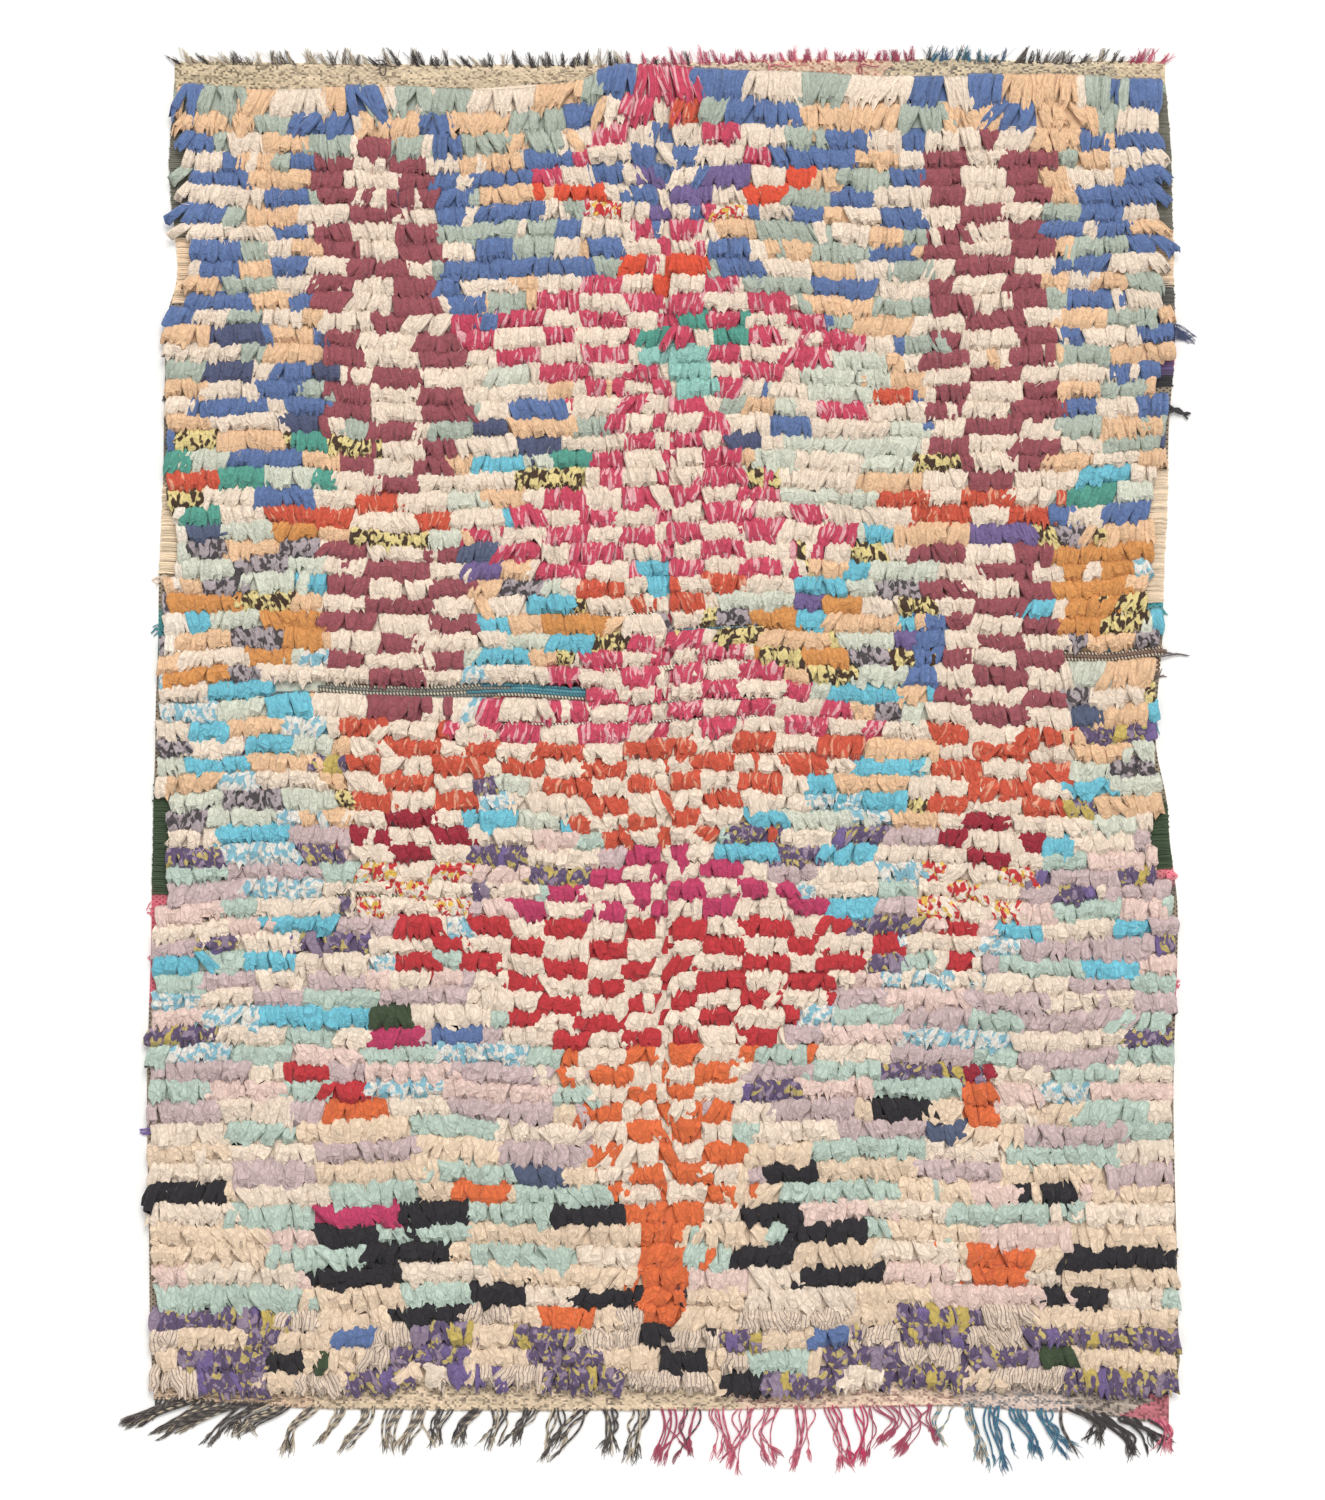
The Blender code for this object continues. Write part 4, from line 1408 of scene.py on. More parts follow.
    def _centres(self) -> np.ndarray:
        """The strips' centre lines.

        A strip runs down the rug by its share of the pitch, aside by the tangent of its yaw,
        and up to its share of the pile's height. It is lower at the rows' ends and parts along
        the crease, where strips lean away from the middle.

        Returns:
            The rings' centres, as strips by rings by 3.
        """
        rng, number = self.rng, len(self.x)
        along = np.array([s.along for s in STRIP_SECTIONS])
        height = np.array([s.height for s in STRIP_SECTIONS])
        reach = 1.03 + rng.normal(0.0, 0.075, number) + 0.08 * self.spiky + self.block_reach
        reach = reach + np.where(rng.random(number) < 0.09, rng.uniform(0.06, 0.26, number), 0.0)
        reach *= 1.0 - 0.22 * self.fan
        for run in WEFT_RUNS:
            here = (self.row == run.row - 1) & between(in_knots(self.x), run.left, run.right)
            reach = np.where(here, np.minimum(reach, 0.86), reach)
        past = self.x - CREASE_X
        crease = bell(past, CREASE_HALF) * (self.y > CREASE_FOOT)
        end = bell(self.edge, 0.010)
        tall = self.height * (1.0 + rng.normal(0.0, 0.07, number))
        tall *= 1.0 - 0.26 * end
        tall *= 1.0 - CREASE_DEPTH * crease
        step = self.pitch[:, None] * along * reach[:, None]
        splay = end * self.hand * 0.0020
        splay += np.sign(past) * crease * 0.0060
        stray = 0.0006 * self.crumple[:, None]
        x = self.x[:, None] + np.tan(self.yaw)[:, None] * step
        x = x + splay[:, None] * np.clip(along, 0.0, None)
        x = x + rng.normal(0.0, 1.0, (number, RINGS)) * stray
        z = PILE_HEIGHT * height * tall[:, None]
        z = z + rng.normal(0.0, 1.0, (number, RINGS)) * stray
        lift = np.where(rng.random(number) < 0.12, rng.uniform(0.001, 0.0040, number), 0.0)
        z[:, -1] += lift + rng.normal(0.0, 0.0013, number)
        return np.stack([x, self.y[:, None] - step, z], axis=-1)

    def _shape_strips(self) -> None:
        """Works out every strip's surface.

        A point lies at centre + half width * cos a aside + half depth * sin a outwards. The
        three upper points move out and in by turns, which folds the strip, and all points
        stray at random, more in the lower, more crumpled rows.
        """
        rng = self.rng
        centre = self._centres()
        number = len(centre)
        angles = np.radians(RING_ANGLES)
        width = np.array([s.width for s in STRIP_SECTIONS])
        depth = np.array([s.depth for s in STRIP_SECTIONS])
        run = np.gradient(centre, axis=1)
        run /= np.linalg.norm(run, axis=-1, keepdims=True)
        aside = np.array([1.0, 0.0, 0.0]) - run * run[..., :1]
        aside /= np.linalg.norm(aside, axis=-1, keepdims=True)
        outward = np.cross(run, aside)
        wide = self.half_width * rng.uniform(0.86, 1.22, (number, 1)) * width
        wide *= 1.0 + 0.12 * self.creased[:, None]
        wide[:, -1] *= 1.0 - 0.35 * self.spiky
        thick = self.half_depth * depth[None] * (1.0 + rng.normal(0.0, 0.08, (number, RINGS)))
        fold = rng.uniform(-0.2, 0.60, (number, 1, 1)) * np.array([0, 1, -1, 1, 0, 0])
        pleated = self.pleated[:, None, None]
        puff = 1.0 + fold * pleated
        puff = puff + rng.normal(0.0, 0.13, (number, RINGS, RING_POINTS))
        slide = rng.normal(0.0, 0.16, (number, RINGS, 1)) * np.array([0.2, 1, 1, 1, 0.2, 0])
        points = (
            centre[:, :, None]
            + aside[:, :, None] * (wide[..., None] * (np.cos(angles) + slide))[..., None]
            + outward[:, :, None] * (thick[..., None] * np.sin(angles) * puff)[..., None]
        )
        loose = np.clip([s.along for s in STRIP_SECTIONS], 0.25, 1.0)[None, :, None, None]
        jitter = rng.normal(0.0, 0.00042, points.shape)
        points = points + jitter * self.crumple[:, None, None, None] * loose
        fray = self.ragged * (1.0 + 0.8 * self.spiky)[:, None]
        teeth = np.array([0.2, -0.8, 0.7, -0.8, 0.2, 0.0])
        points[:, -1, :, 1] += (teeth + rng.normal(0.0, 0.8, (number, RING_POINTS))) * fray
        points[..., 2] = np.maximum(points[..., 2], 0.0008)
        self.points = points
        # Painted shade of the pleats: the strip's edges and lower points dark, its upper points
        # light; in crumpled rows each point takes a random painted shade instead.
        painted_pleat_light = np.array([0.0, 0.75, 0.55, 0.75, 0.0, 0.0])
        painted_pleat_shade = np.clip(painted_pleat_light + 0.9 * (puff - 1.0), 0.0, 1.0)
        self.painted_pleat_shade = painted_pleat_shade * pleated + rng.uniform(0.35, 1.0, painted_pleat_shade.shape) * (1.0 - pleated)
        # The depth sets the painted shade towards the strips' roots.
        self.depth = np.clip((points[..., 2] - WEAVE) / (PILE_HEIGHT - WEAVE), 0.0, 1.0)

    def _piece(self, name: str, chosen: np.ndarray) -> bpy.types.Object:
        """Makes one piece of pile.

        Args:
            name: the piece's name.
            chosen: the numbers of its strips.

        Returns:
            The object, with the strips' maps, their random tone, depth for painted root shade,
            painted pleat shade and crumpling, and a material number for each face.
        """
        number = len(chosen)
        walls, ends = tube_faces(number, RINGS, RING_POINTS)
        walls, ends = walls[:, ::-1], ends[:, ::-1]
        piece = new_piece(name, self.points[chosen], [walls, ends])
        cloth = self.cloth[chosen]
        numbers = [np.repeat(cloth, (RINGS - 1) * RING_POINTS), np.repeat(cloth, 2)]
        piece.data.polygons.foreach_set("material_index", np.concatenate(numbers).astype(np.int32))
        # knot: red the random tone, green the depth that paints shade towards the root, blue the
        # painted pleat shade, alpha the share of crumpling.
        colors = np.ones((number, RINGS, RING_POINTS, 4))
        colors[..., 0] = 0.5 + 0.5 * self.shade[chosen][:, None, None]
        colors[..., 1] = self.depth[chosen]
        colors[..., 2] = self.painted_pleat_shade[chosen]
        colors[..., 3] = self.creased[chosen][:, None, None]
        add_colors(piece, "knot", colors)
        add_map(piece, "strip", self._strip_map(chosen, walls, ends))
        add_map(piece, "OFBake", self._bake_map(number))
        smooth(piece, 38.0)
        return piece

    def _strip_map(self, chosen: np.ndarray, walls: np.ndarray, ends: np.ndarray) -> np.ndarray:
        """Places on the strips, in metres.

        Args:
            chosen: the numbers of the piece's strips.
            walls: its wall faces.
            ends: its end faces.

        Returns:
            For each corner, U around the strip and V along it. Each strip's start is random.
        """
        start = chance(9).uniform(0.0, 3.0, (len(self.x), 2))[chosen]
        place = np.empty((len(chosen), RINGS, RING_POINTS, 2))
        around = np.linspace(0.0, 3.0 * self.half_width, RING_POINTS)
        place[..., 0] = start[:, 0, None, None] + around
        place[..., 1] = start[:, 1, None, None] + np.linspace(0.0, 0.034, RINGS)[:, None]
        return place.reshape(-1, 2)[np.concatenate([walls.ravel(), ends.ravel()])]

    @staticmethod
    def _bake_map(number: int) -> np.ndarray:
        """A map with a square of its own for each strip.

        Args:
            number: how many strips the piece has.

        Returns:
            U and V for each corner. The walls fill most of the strip's square, unrolled, and
            the two ends lie beside them as small rounds.
        """
        across = int(np.ceil(np.sqrt(number)))
        square = 1.0 / across
        strip = np.arange(number)
        origin = np.stack([strip % across, strip // across], axis=-1) * square
        side, ring = np.meshgrid(np.arange(RING_POINTS), np.arange(RINGS - 1))
        corner_side = np.stack([side, side + 1, side + 1, side], axis=-1) / RING_POINTS
        corner_ring = np.stack([ring, ring, ring + 1, ring + 1], axis=-1) / (RINGS - 1)
        wall = np.stack([0.05 + 0.74 * corner_side, 0.05 + 0.90 * corner_ring], axis=-1)
        wall = wall[..., ::-1, :].reshape(-1, 2)
        turn = 2.0 * np.pi * np.arange(RING_POINTS) / RING_POINTS
        disc = np.stack([np.cos(turn), np.sin(turn)], axis=-1) * 0.075
        discs = np.stack([disc + (0.89, 0.25), disc + (0.89, 0.70)]).reshape(-1, 2)
        shapes = [(origin[:, None] + one * square).reshape(-1, 2) for one in (wall, discs)]
        return np.concatenate(shapes)


# The ground


@dataclass(frozen=True)
class SelvageStretch:
    """A stretch of side edge: how its weft is dyed and whether it carries no pile."""

    side: Side
    top: float
    bottom: float
    weft: Color
    is_bare: bool = False


SELVAGES = tuple(SelvageStretch(*one) for one in (
    (Side.LOW, 1.040, 1.018, (178, 196, 176)), (Side.LOW, 1.018, 0.813, (114, 112, 100), True),
    (Side.LOW, 0.813, 0.712, (230, 204, 174), True), (Side.LOW, 0.700, 0.622, (76, 84, 120)),
    (Side.LOW, 0.598, 0.536, (52, 50, 54)), (Side.LOW, 0.508, 0.480, (98, 98, 92)),
    (Side.LOW, 0.419, 0.295, (226, 206, 178), True), (Side.LOW, 0.224, 0.172, (74, 138, 140)),
    (Side.LOW, -0.038, -0.201, (58, 76, 52), True), (Side.LOW, -0.205, -0.372, (206, 104, 118)),
    (Side.HIGH, 1.052, 1.031, (178, 196, 176)), (Side.HIGH, 1.031, 0.822, (114, 112, 100), True),
    (Side.HIGH, 0.815, 0.738, (232, 206, 176), True),
    (Side.HIGH, 0.738, 0.705, (96, 94, 90), True), (Side.HIGH, 0.686, 0.645, (72, 78, 116)),
    (Side.HIGH, 0.640, 0.618, (150, 62, 76), True),
    (Side.HIGH, 0.617, 0.602, (104, 84, 130), True), (Side.HIGH, 0.601, 0.585, (48, 46, 50), True),
    (Side.HIGH, 0.465, 0.250, (228, 208, 182), True), (Side.HIGH, 0.248, 0.222, (70, 150, 158)),
    (Side.HIGH, -0.069, -0.162, (58, 76, 52), True), (Side.HIGH, -0.163, -0.186, (226, 130, 140)),
    (Side.HIGH, -0.187, -0.208, (102, 98, 94)), (Side.HIGH, -0.325, -0.372, (214, 90, 112)),
))


@dataclass(frozen=True)
class EndBand:
    """How one woven end is dyed from a place across the rug onwards.

    marks is how much of the sunk weave shows the warp.
    """

    x: float
    weft: Color
    warp: Color
    marks: float = 0.5


TOP_BANDS = tuple(EndBand(*one) for one in (
    (-0.80, (208, 190, 160), (70, 60, 52), 0.85), (-0.60, (213, 194, 166), (96, 82, 70), 0.62),
    (-0.10, (214, 194, 170), (120, 84, 76), 0.60), (0.18, (214, 186, 162), (160, 72, 70), 0.62),
    (0.36, (206, 190, 162), (52, 52, 70), 0.80), (0.70, (216, 196, 166), (104, 86, 76), 0.55),
))

BOTTOM_BANDS = tuple(EndBand(*one) for one in (
    (-0.80, (216, 188, 162), (84, 66, 62), 0.85), (-0.55, (220, 198, 170), (92, 82, 76), 0.75),
    (0.10, (222, 196, 174), (132, 84, 88), 0.80), (0.46, (208, 188, 176), (60, 84, 100), 0.90),
    (0.62, (176, 162, 150), (28, 28, 32), 0.95), (0.735, (194, 118, 126), (86, 54, 62), 0.75),
))


@dataclass(frozen=True)
class WovenFinish:
    """The plain weave of the ground: weft and warp from two attributes, with their relief."""

    name: str
    weft_pitch: float = 0.0036
    warp_pitch: float = 0.0052
    speckled: bool = True

    def material(self, shaders: ClothShaders) -> bpy.types.Material:
        """Builds the material.

        Args:
            shaders: the shared groups.

        Returns:
            The material. Two waves, one along each thread, are multiplied: where the product
            is low the warp shows, elsewhere the weft.
        """
        made = Dressing(self.name, shaders)
        color, warp = made.attribute("weft"), made.attribute("warp")
        axes = made.node("SeparateXYZ", {0: made.place}).outputs
        waves = []
        for axis, pitch in (("X", self.warp_pitch), ("Y", self.weft_pitch)):
            turn = made.math("MULTIPLY", axes[axis], float(np.pi / pitch))
            waves.append(made.math("SINE", turn))
        product = made.math("MULTIPLY", *waves)
        level = made.math("MULTIPLY_ADD", made.noise(made.place, 60.0), 0.9, -0.95)
        under = made.math("SUBTRACT", product, level)
        if self.speckled:
            color = made.mix(made.steep(under, 0.12, -0.12), color, warp)
        made.wear_and_shade(color, Depth=1.0, Fold=1.0)
        height = made.math("MULTIPLY", product, 0.0005)
        height = made.math("MULTIPLY_ADD", made.noise(made.place, 700.0), 0.0004, height)
        made.emboss(height, 0.7)
        return made.done(specular_ior_level=0.2, sheen_weight=0.15)


def slab(name: str, top: np.ndarray, foot: np.ndarray) -> bpy.types.Object:
    """A closed sheet between two grids with the same lines and columns.

    Args:
        name: the piece's name.
        top: the upper surface, as lines (downwards) by columns (rightwards) by 3.
        foot: the lower surface, likewise.

    Returns:
        The object, with its faces outwards.
    """
    lines, columns = top.shape[:2]
    line, column = np.meshgrid(np.arange(lines - 1), np.arange(columns - 1), indexing="ij")
    corner = (line * columns + column).reshape(-1)
    quad = np.stack([corner, corner + columns, corner + columns + 1, corner + 1], axis=-1)
    under = quad[:, ::-1] + lines * columns
    rim = np.concatenate(
        [
            np.arange(columns - 1),
            np.arange(lines - 1) * columns + columns - 1,
            (lines - 1) * columns + np.arange(columns - 1, 0, -1),
            np.arange(lines - 1, 0, -1) * columns,
        ]
    )
    after = np.roll(rim, -1)
    wall = np.stack([rim, after, after + lines * columns, rim + lines * columns], axis=-1)
    points = np.concatenate([top.reshape(-1, 3), foot.reshape(-1, 3)])
    return new_piece(name, points, [quad, under, wall])


@dataclass
class GroundCloth:
    """The woven ground: the cloth under the pile, its selvages and its two woven ends."""

    chart: Chart
    shaders: ClothShaders
    columns: int = 72
    lines: int = 84
    end_columns: int = 430
    overlap: float = 0.012
    weft_pitch: float = 0.0024
    relief: float = 0.0014

    def build(self) -> tuple[bpy.types.Object, list[bpy.types.Object]]:
        """Makes and dresses the ground.

        Returns:
            The cloth under the pile, and the two woven ends.
        """
        self.plain = WovenFinish("woven_ground").material(self.shaders)
        self.raised = WovenFinish("woven_end", speckled=False).material(self.shaders)
        middle = self._middle()
        ends = [self._end(Side.HIGH, TOP_BANDS), self._end(Side.LOW, BOTTOM_BANDS)]
        for piece in (middle, *ends):
            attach(piece, BODY)
        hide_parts("rug")
        return middle, ends

    def _limits(self, x: np.ndarray) -> tuple[np.ndarray, np.ndarray]:
        """Y of the upper and the lower line of the pile's ground at each x."""
        roots, pitches = row_roots()
        low = roots[-1] - pitches[-1]
        return roots[0] + wander(x, roots[0]) + 0.004, low + wander(x, low) - 0.004

    def _middle(self) -> bpy.types.Object:
        """The cloth under the pile.

        Its outline follows the side edges. Its upper side rises and falls by a little noise.

        Returns:
            The object.
        """
        share = spread(self.columns)
        down = spread(self.lines).T
        guess = np.linspace(1.045, -0.985, self.lines)[:, None]
        left, right = side_edge(Side.LOW, guess), side_edge(Side.HIGH, guess)
        x = left + (right - left) * share
        upper, lower = self._limits(x)
        y = upper + (lower - upper) * down
        z = WEAVE * (0.90 + 0.10 * smooth_noise(x * 60.0, y * 60.0, SEED + 20))
        top = np.stack([x, y, z], axis=-1)
        foot = np.stack([x, y, np.zeros_like(z)], axis=-1)
        piece = slab("ground_cloth", top, foot)
        weft, warp = self._dyes(x, y)
        back = self._back_dyes(x, y)
        add_colors(piece, "weft", np.concatenate([weft.reshape(-1, 4), back.reshape(-1, 4)]))
        add_colors(piece, "warp", np.concatenate([warp.reshape(-1, 4)] * 2))
        piece.data.materials.append(self.plain)
        smooth(piece, 50.0)
        LOG.info("ground_cloth: %d faces", len(piece.data.polygons))
        return piece

    def _dyes(self, x: np.ndarray, y: np.ndarray) -> tuple[np.ndarray, np.ndarray]:
        """Dyes of the ground's upper side.

        Args:
            x: its places across.
            y: its places along.

        Returns:
            The weft's and the warp's colour at each place.
        """
        shape = (*x.shape, 4)
        weft = np.broadcast_to(np.array(linear((150, 136, 118))), shape).copy()
        warp = np.broadcast_to(np.array(linear((54, 50, 52))), shape).copy()
        for stretch in SELVAGES:
            edge = side_edge(stretch.side, y)
            near = np.abs(x - edge) < SELVAGE * 1.5
            here = near & (y < stretch.top) & (y > stretch.bottom)
            weft[here] = linear(stretch.weft)
            warp[here] = linear(tuple(int(c * 0.7) for c in stretch.weft))
        roots, pitches = row_roots()
        for bare in BARE_STRETCHES:
            away = (x - CREASE_X) / (CLOTH_SIZE[0] / KNOTS)
            high = roots[bare.row] + 0.5 * pitches[bare.row]
            low = roots[bare.row] - 1.5 * pitches[bare.row]
            strays = y - wander(x, y)
            here = between(away, bare.left, bare.right) & between(strays, low, high)
            weft[here] = linear(bare.weft)
            warp[here] = linear(bare.warp)
        return weft, warp

    def _back_dyes(self, x: np.ndarray, y: np.ndarray) -> np.ndarray:
        """Dyes of the underside, where the knots show through between the wefts.

        Args:
            x: its places across.
            y: its places along.

        Returns:
            The colour at each place: the knot's above it, paled with the ground's.
        """
        roots, _ = row_roots()
        row = np.clip(np.searchsorted(-roots, -(y - wander(x, y))) - 1, 0, ROWS - 1)
        left, right = side_edge(Side.LOW, y), side_edge(Side.HIGH, y)
        knot = np.clip(((x - left) / (right - left) * KNOTS).astype(int), 0, KNOTS - 1)
        dyes = np.array([linear(cloth.dye) for cloth in CLOTHS])
        ground = np.array(linear((206, 188, 160)))
        return 0.55 * dyes[self.chart.cloth[row, knot]] + 0.45 * ground

    def _end(self, end: Side, bands: Sequence[EndBand]) -> bpy.types.Object:
        """One flat-woven end.

        Where smooth noise is above zero, short stretches of weft are raised by an uneven
        amount. Between them the warp shows here and there.

        Args:
            end: which end.
            bands: how it is dyed across the rug.

        Returns:
            The object.
        """
        is_top = end is Side.HIGH
        name, edge_y = ("woven_end_top", 1.06) if is_top else ("woven_end_bottom", -0.985)
        left, right = (side_edge(side, np.array(edge_y)) for side in (Side.LOW, Side.HIGH))
        x = left + (right - left) * spread(self.end_columns)
        outer = end_edge(end, x)
        inner = self._limits(x)[0 if is_top else 1] - end.value * self.overlap
        lines = int(float(np.abs(outer - inner).mean()) / self.weft_pitch)
        first, last = (outer, inner) if is_top else (inner, outer)
        y = first + (last - first) * spread(lines).T
        x = np.broadcast_to(x, y.shape)
        rng = chance(24 + end.value)
        line, column = np.indices(y.shape).astype(float)
        raised = smooth_noise(column * 0.83 + 0.5 * (line % 2), line * 0.97, SEED + 26) > -0.1
        y = y + 0.0012 * smooth_noise(x * 22.0, y * 60.0, SEED + 25)
        z = WEAVE * (0.80 + 0.10 * smooth_noise(x * 30.0, y * 40.0, SEED + 21))
        z = z + np.where(raised, self.relief, 0.0) * rng.uniform(0.5, 1.2, y.shape)
        rim = np.ones_like(z)
        rim[:, 0] = rim[:, -1] = 0.55
        rim[0 if is_top else -1] = 0.6
        top = np.stack([x, y, z * rim], axis=-1)
        piece = slab(name, top, np.stack([x, y, np.zeros_like(z)], axis=-1))
        dye = self._end_dyes(rng, x, y, raised, bands)
        cells = dye[:-1, :-1].reshape(-1, 4)
        walls = np.repeat(dye[:1, 0], len(piece.data.polygons) - 2 * len(cells), axis=0)
        add_face_colors(piece, "weft", np.concatenate([cells, cells, walls]))
        piece.data.materials.append(self.raised)
        smooth(piece, 60.0)
        LOG.info("%s: %d faces", name, len(piece.data.polygons))
        return piece

    def _end_dyes(
        self, rng: np.random.Generator, x: np.ndarray, y: np.ndarray, raised: np.ndarray,
        bands: Sequence[EndBand],
    ) -> np.ndarray:
        """Dyes of a flat-woven end, uneven from line to line.

        Args:
            rng: the source of chance.
            x: its places across.
            y: its places along.
            raised: where its weft is raised. The warp shows only elsewhere.
            bands: how it is dyed across the rug.

        Returns:
            The colour at each place.
        """
        starts = np.array([band.x for band in bands])
        stray = x + 0.035 * smooth_noise(x * 12.0, y * 90.0, SEED + 22)
        band = np.clip(np.searchsorted(starts, stray) - 1, 0, len(bands) - 1)
        weft = np.array([linear(b.weft) for b in bands])[band]
        warp = np.array([linear(b.warp) for b in bands])[band]
        marks = np.array([b.marks for b in bands])[band]
        marks = marks + 0.30 * smooth_noise(x * 14.0, y * 60.0, SEED + 23)
        showing = ~raised & (rng.random(y.shape) < marks)
        mark = np.where(showing, rng.uniform(0.35, 0.80, y.shape), 0.0)[..., None]
        dye = mark * warp + (1.0 - mark) * weft
        line = np.indices(y.shape)[0]
        streak = 1.0 + 0.20 * smooth_noise(x * 11.0, line * 0.9, SEED + 27)
        dye[..., :3] *= (streak * rng.uniform(0.78, 1.06, y.shape))[..., None]
        return dye


# Yarns


@dataclass(frozen=True)
class YarnFinish:
    """Matt wool and cotton yarn, dyed by two attributes, one for each ply.

    depth is how far in shade it lies, and turn the length in which its plies go round once.
    """

    name: str
    depth: float = 1.0
    turn: float = 0.0

    def material(self, shaders: ClothShaders) -> bpy.types.Material:
        """Builds the material.

        Args:
            shaders: the shared groups.

        Returns:
            The material: the dye of each vertex, worn and painted darker by its depth in shade,
            with fine fibres as bump.
        """
        made = Dressing(self.name, shaders)
        dye = made.attribute("dye")
        if self.turn:
            yarn = made.node("SeparateXYZ", {0: made.on_map("yarn")}).outputs
            turns = made.math("MULTIPLY_ADD", yarn["Y"], 1.0 / self.turn, yarn["X"])
            wave = made.math("SINE", made.math("MULTIPLY", turns, float(2.0 * np.pi)))
            dye = made.mix(made.steep(wave, -0.3, 0.8), dye, made.attribute("other_dye"))
        made.wear_and_shade(dye, Depth=self.depth, Fold=1.0)
        made.emboss(made.noise(made.place, 1500.0), 0.5, 0.0006)
        return made.done(sheen_weight=0.25)


@dataclass(frozen=True)
class FringeBand:
    """How a fringe looks from a place across the rug onwards.

    reach is how far it stands out from the cloth, sweep how far its tips lie to the right,
    and the yarns take turns with the dyes. stout is the yarns' share of the usual radius.
    """

    x: float
    reach: float
    sweep: float
    dyes: tuple[Color, ...]
    stout: float = 1.0


INK, ECRU, ROSE, BRIGHT = (54, 48, 48), (180, 166, 144), (160, 68, 92), (200, 48, 98)
TEAL, BLUE, PINK, CHAR = (60, 116, 138), (58, 92, 124), (206, 110, 130), (96, 88, 82)

TOP_FRINGE = tuple(FringeBand(*one) for one in (
    (-0.790, 0.022, -0.034, (INK, ECRU, INK)), (-0.700, 0.022, -0.016, (INK, ECRU, CHAR, ECRU)),
    (-0.450, 0.026, -0.009, (INK, ECRU, CHAR, INK)),
    (-0.050, 0.024, -0.004, (INK, ROSE, ROSE, PINK)), (0.060, 0.026, -0.003, (ROSE, PINK, ROSE)),
    (0.350, 0.022, 0.002, (ROSE, INK, ROSE)), (0.400, 0.025, 0.002, (BLUE, TEAL, INK)),
    (0.540, 0.023, 0.004, (INK, INK, CHAR)), (0.650, 0.020, 0.008, (INK, ECRU, INK)),
    (0.720, 0.022, 0.012, (ROSE, PINK, ROSE)), (0.770, 0.027, 0.008, (PINK, ROSE)),
))

BOTTOM_FRINGE = tuple(FringeBand(*one) for one in (
    (-0.790, 0.044, -0.036, (INK, CHAR, ECRU), 1.1),
    (-0.760, 0.058, -0.064, (INK, CHAR, ECRU, ECRU), 1.1),
    (-0.640, 0.062, -0.058, (INK, CHAR, ECRU, ECRU), 1.1),
    (-0.540, 0.066, -0.028, (CHAR, ECRU, ECRU, INK), 1.0),
    (-0.350, 0.074, -0.016, (INK, CHAR, ECRU, ECRU), 1.0),
    (-0.010, 0.082, -0.006, (ROSE, ROSE, INK), 0.8), (0.060, 0.090, 0.002, (ROSE, PINK), 0.7),
    (0.260, 0.094, 0.004, (BRIGHT, ROSE), 0.75), (0.320, 0.092, 0.004, (ROSE, ROSE), 0.6),
    (0.420, 0.092, 0.006, (ECRU, TEAL, CHAR), 0.8), (0.480, 0.098, 0.014, (TEAL, BLUE), 0.9),
    (0.620, 0.092, 0.030, (INK, INK, CHAR), 1.3), (0.700, 0.056, 0.044, (INK, INK, ECRU), 1.4),
    (0.755, 0.080, 0.010, (ROSE, PINK), 1.2),
))


def band_of(bands: Sequence[FringeBand], x: np.ndarray) -> np.ndarray:
    """The number of the band that covers each place. A band starts at its x."""
    starts = [band.x for band in bands]
    return np.clip(np.searchsorted(starts, x, side="right") - 1, 0, len(bands) - 1)


def band_dyes(bands: Sequence[FringeBand], band: np.ndarray, turn: np.ndarray) -> np.ndarray:
    """Dyes of some yarns or fibres.

    Args:
        bands: the fringe's bands.
        band: the number of each yarn's band.
        turn: which of the band's dyes each takes, counted round.

    Returns:
        A linear colour for each.
    """
    tables = [np.array([linear(c) for c in b.dyes]) for b in bands]
    sizes = np.array([len(t) for t in tables])
    padded = np.stack([np.resize(t, (max(sizes), 4)) for t in tables])
    return padded[band, turn % sizes[band]]


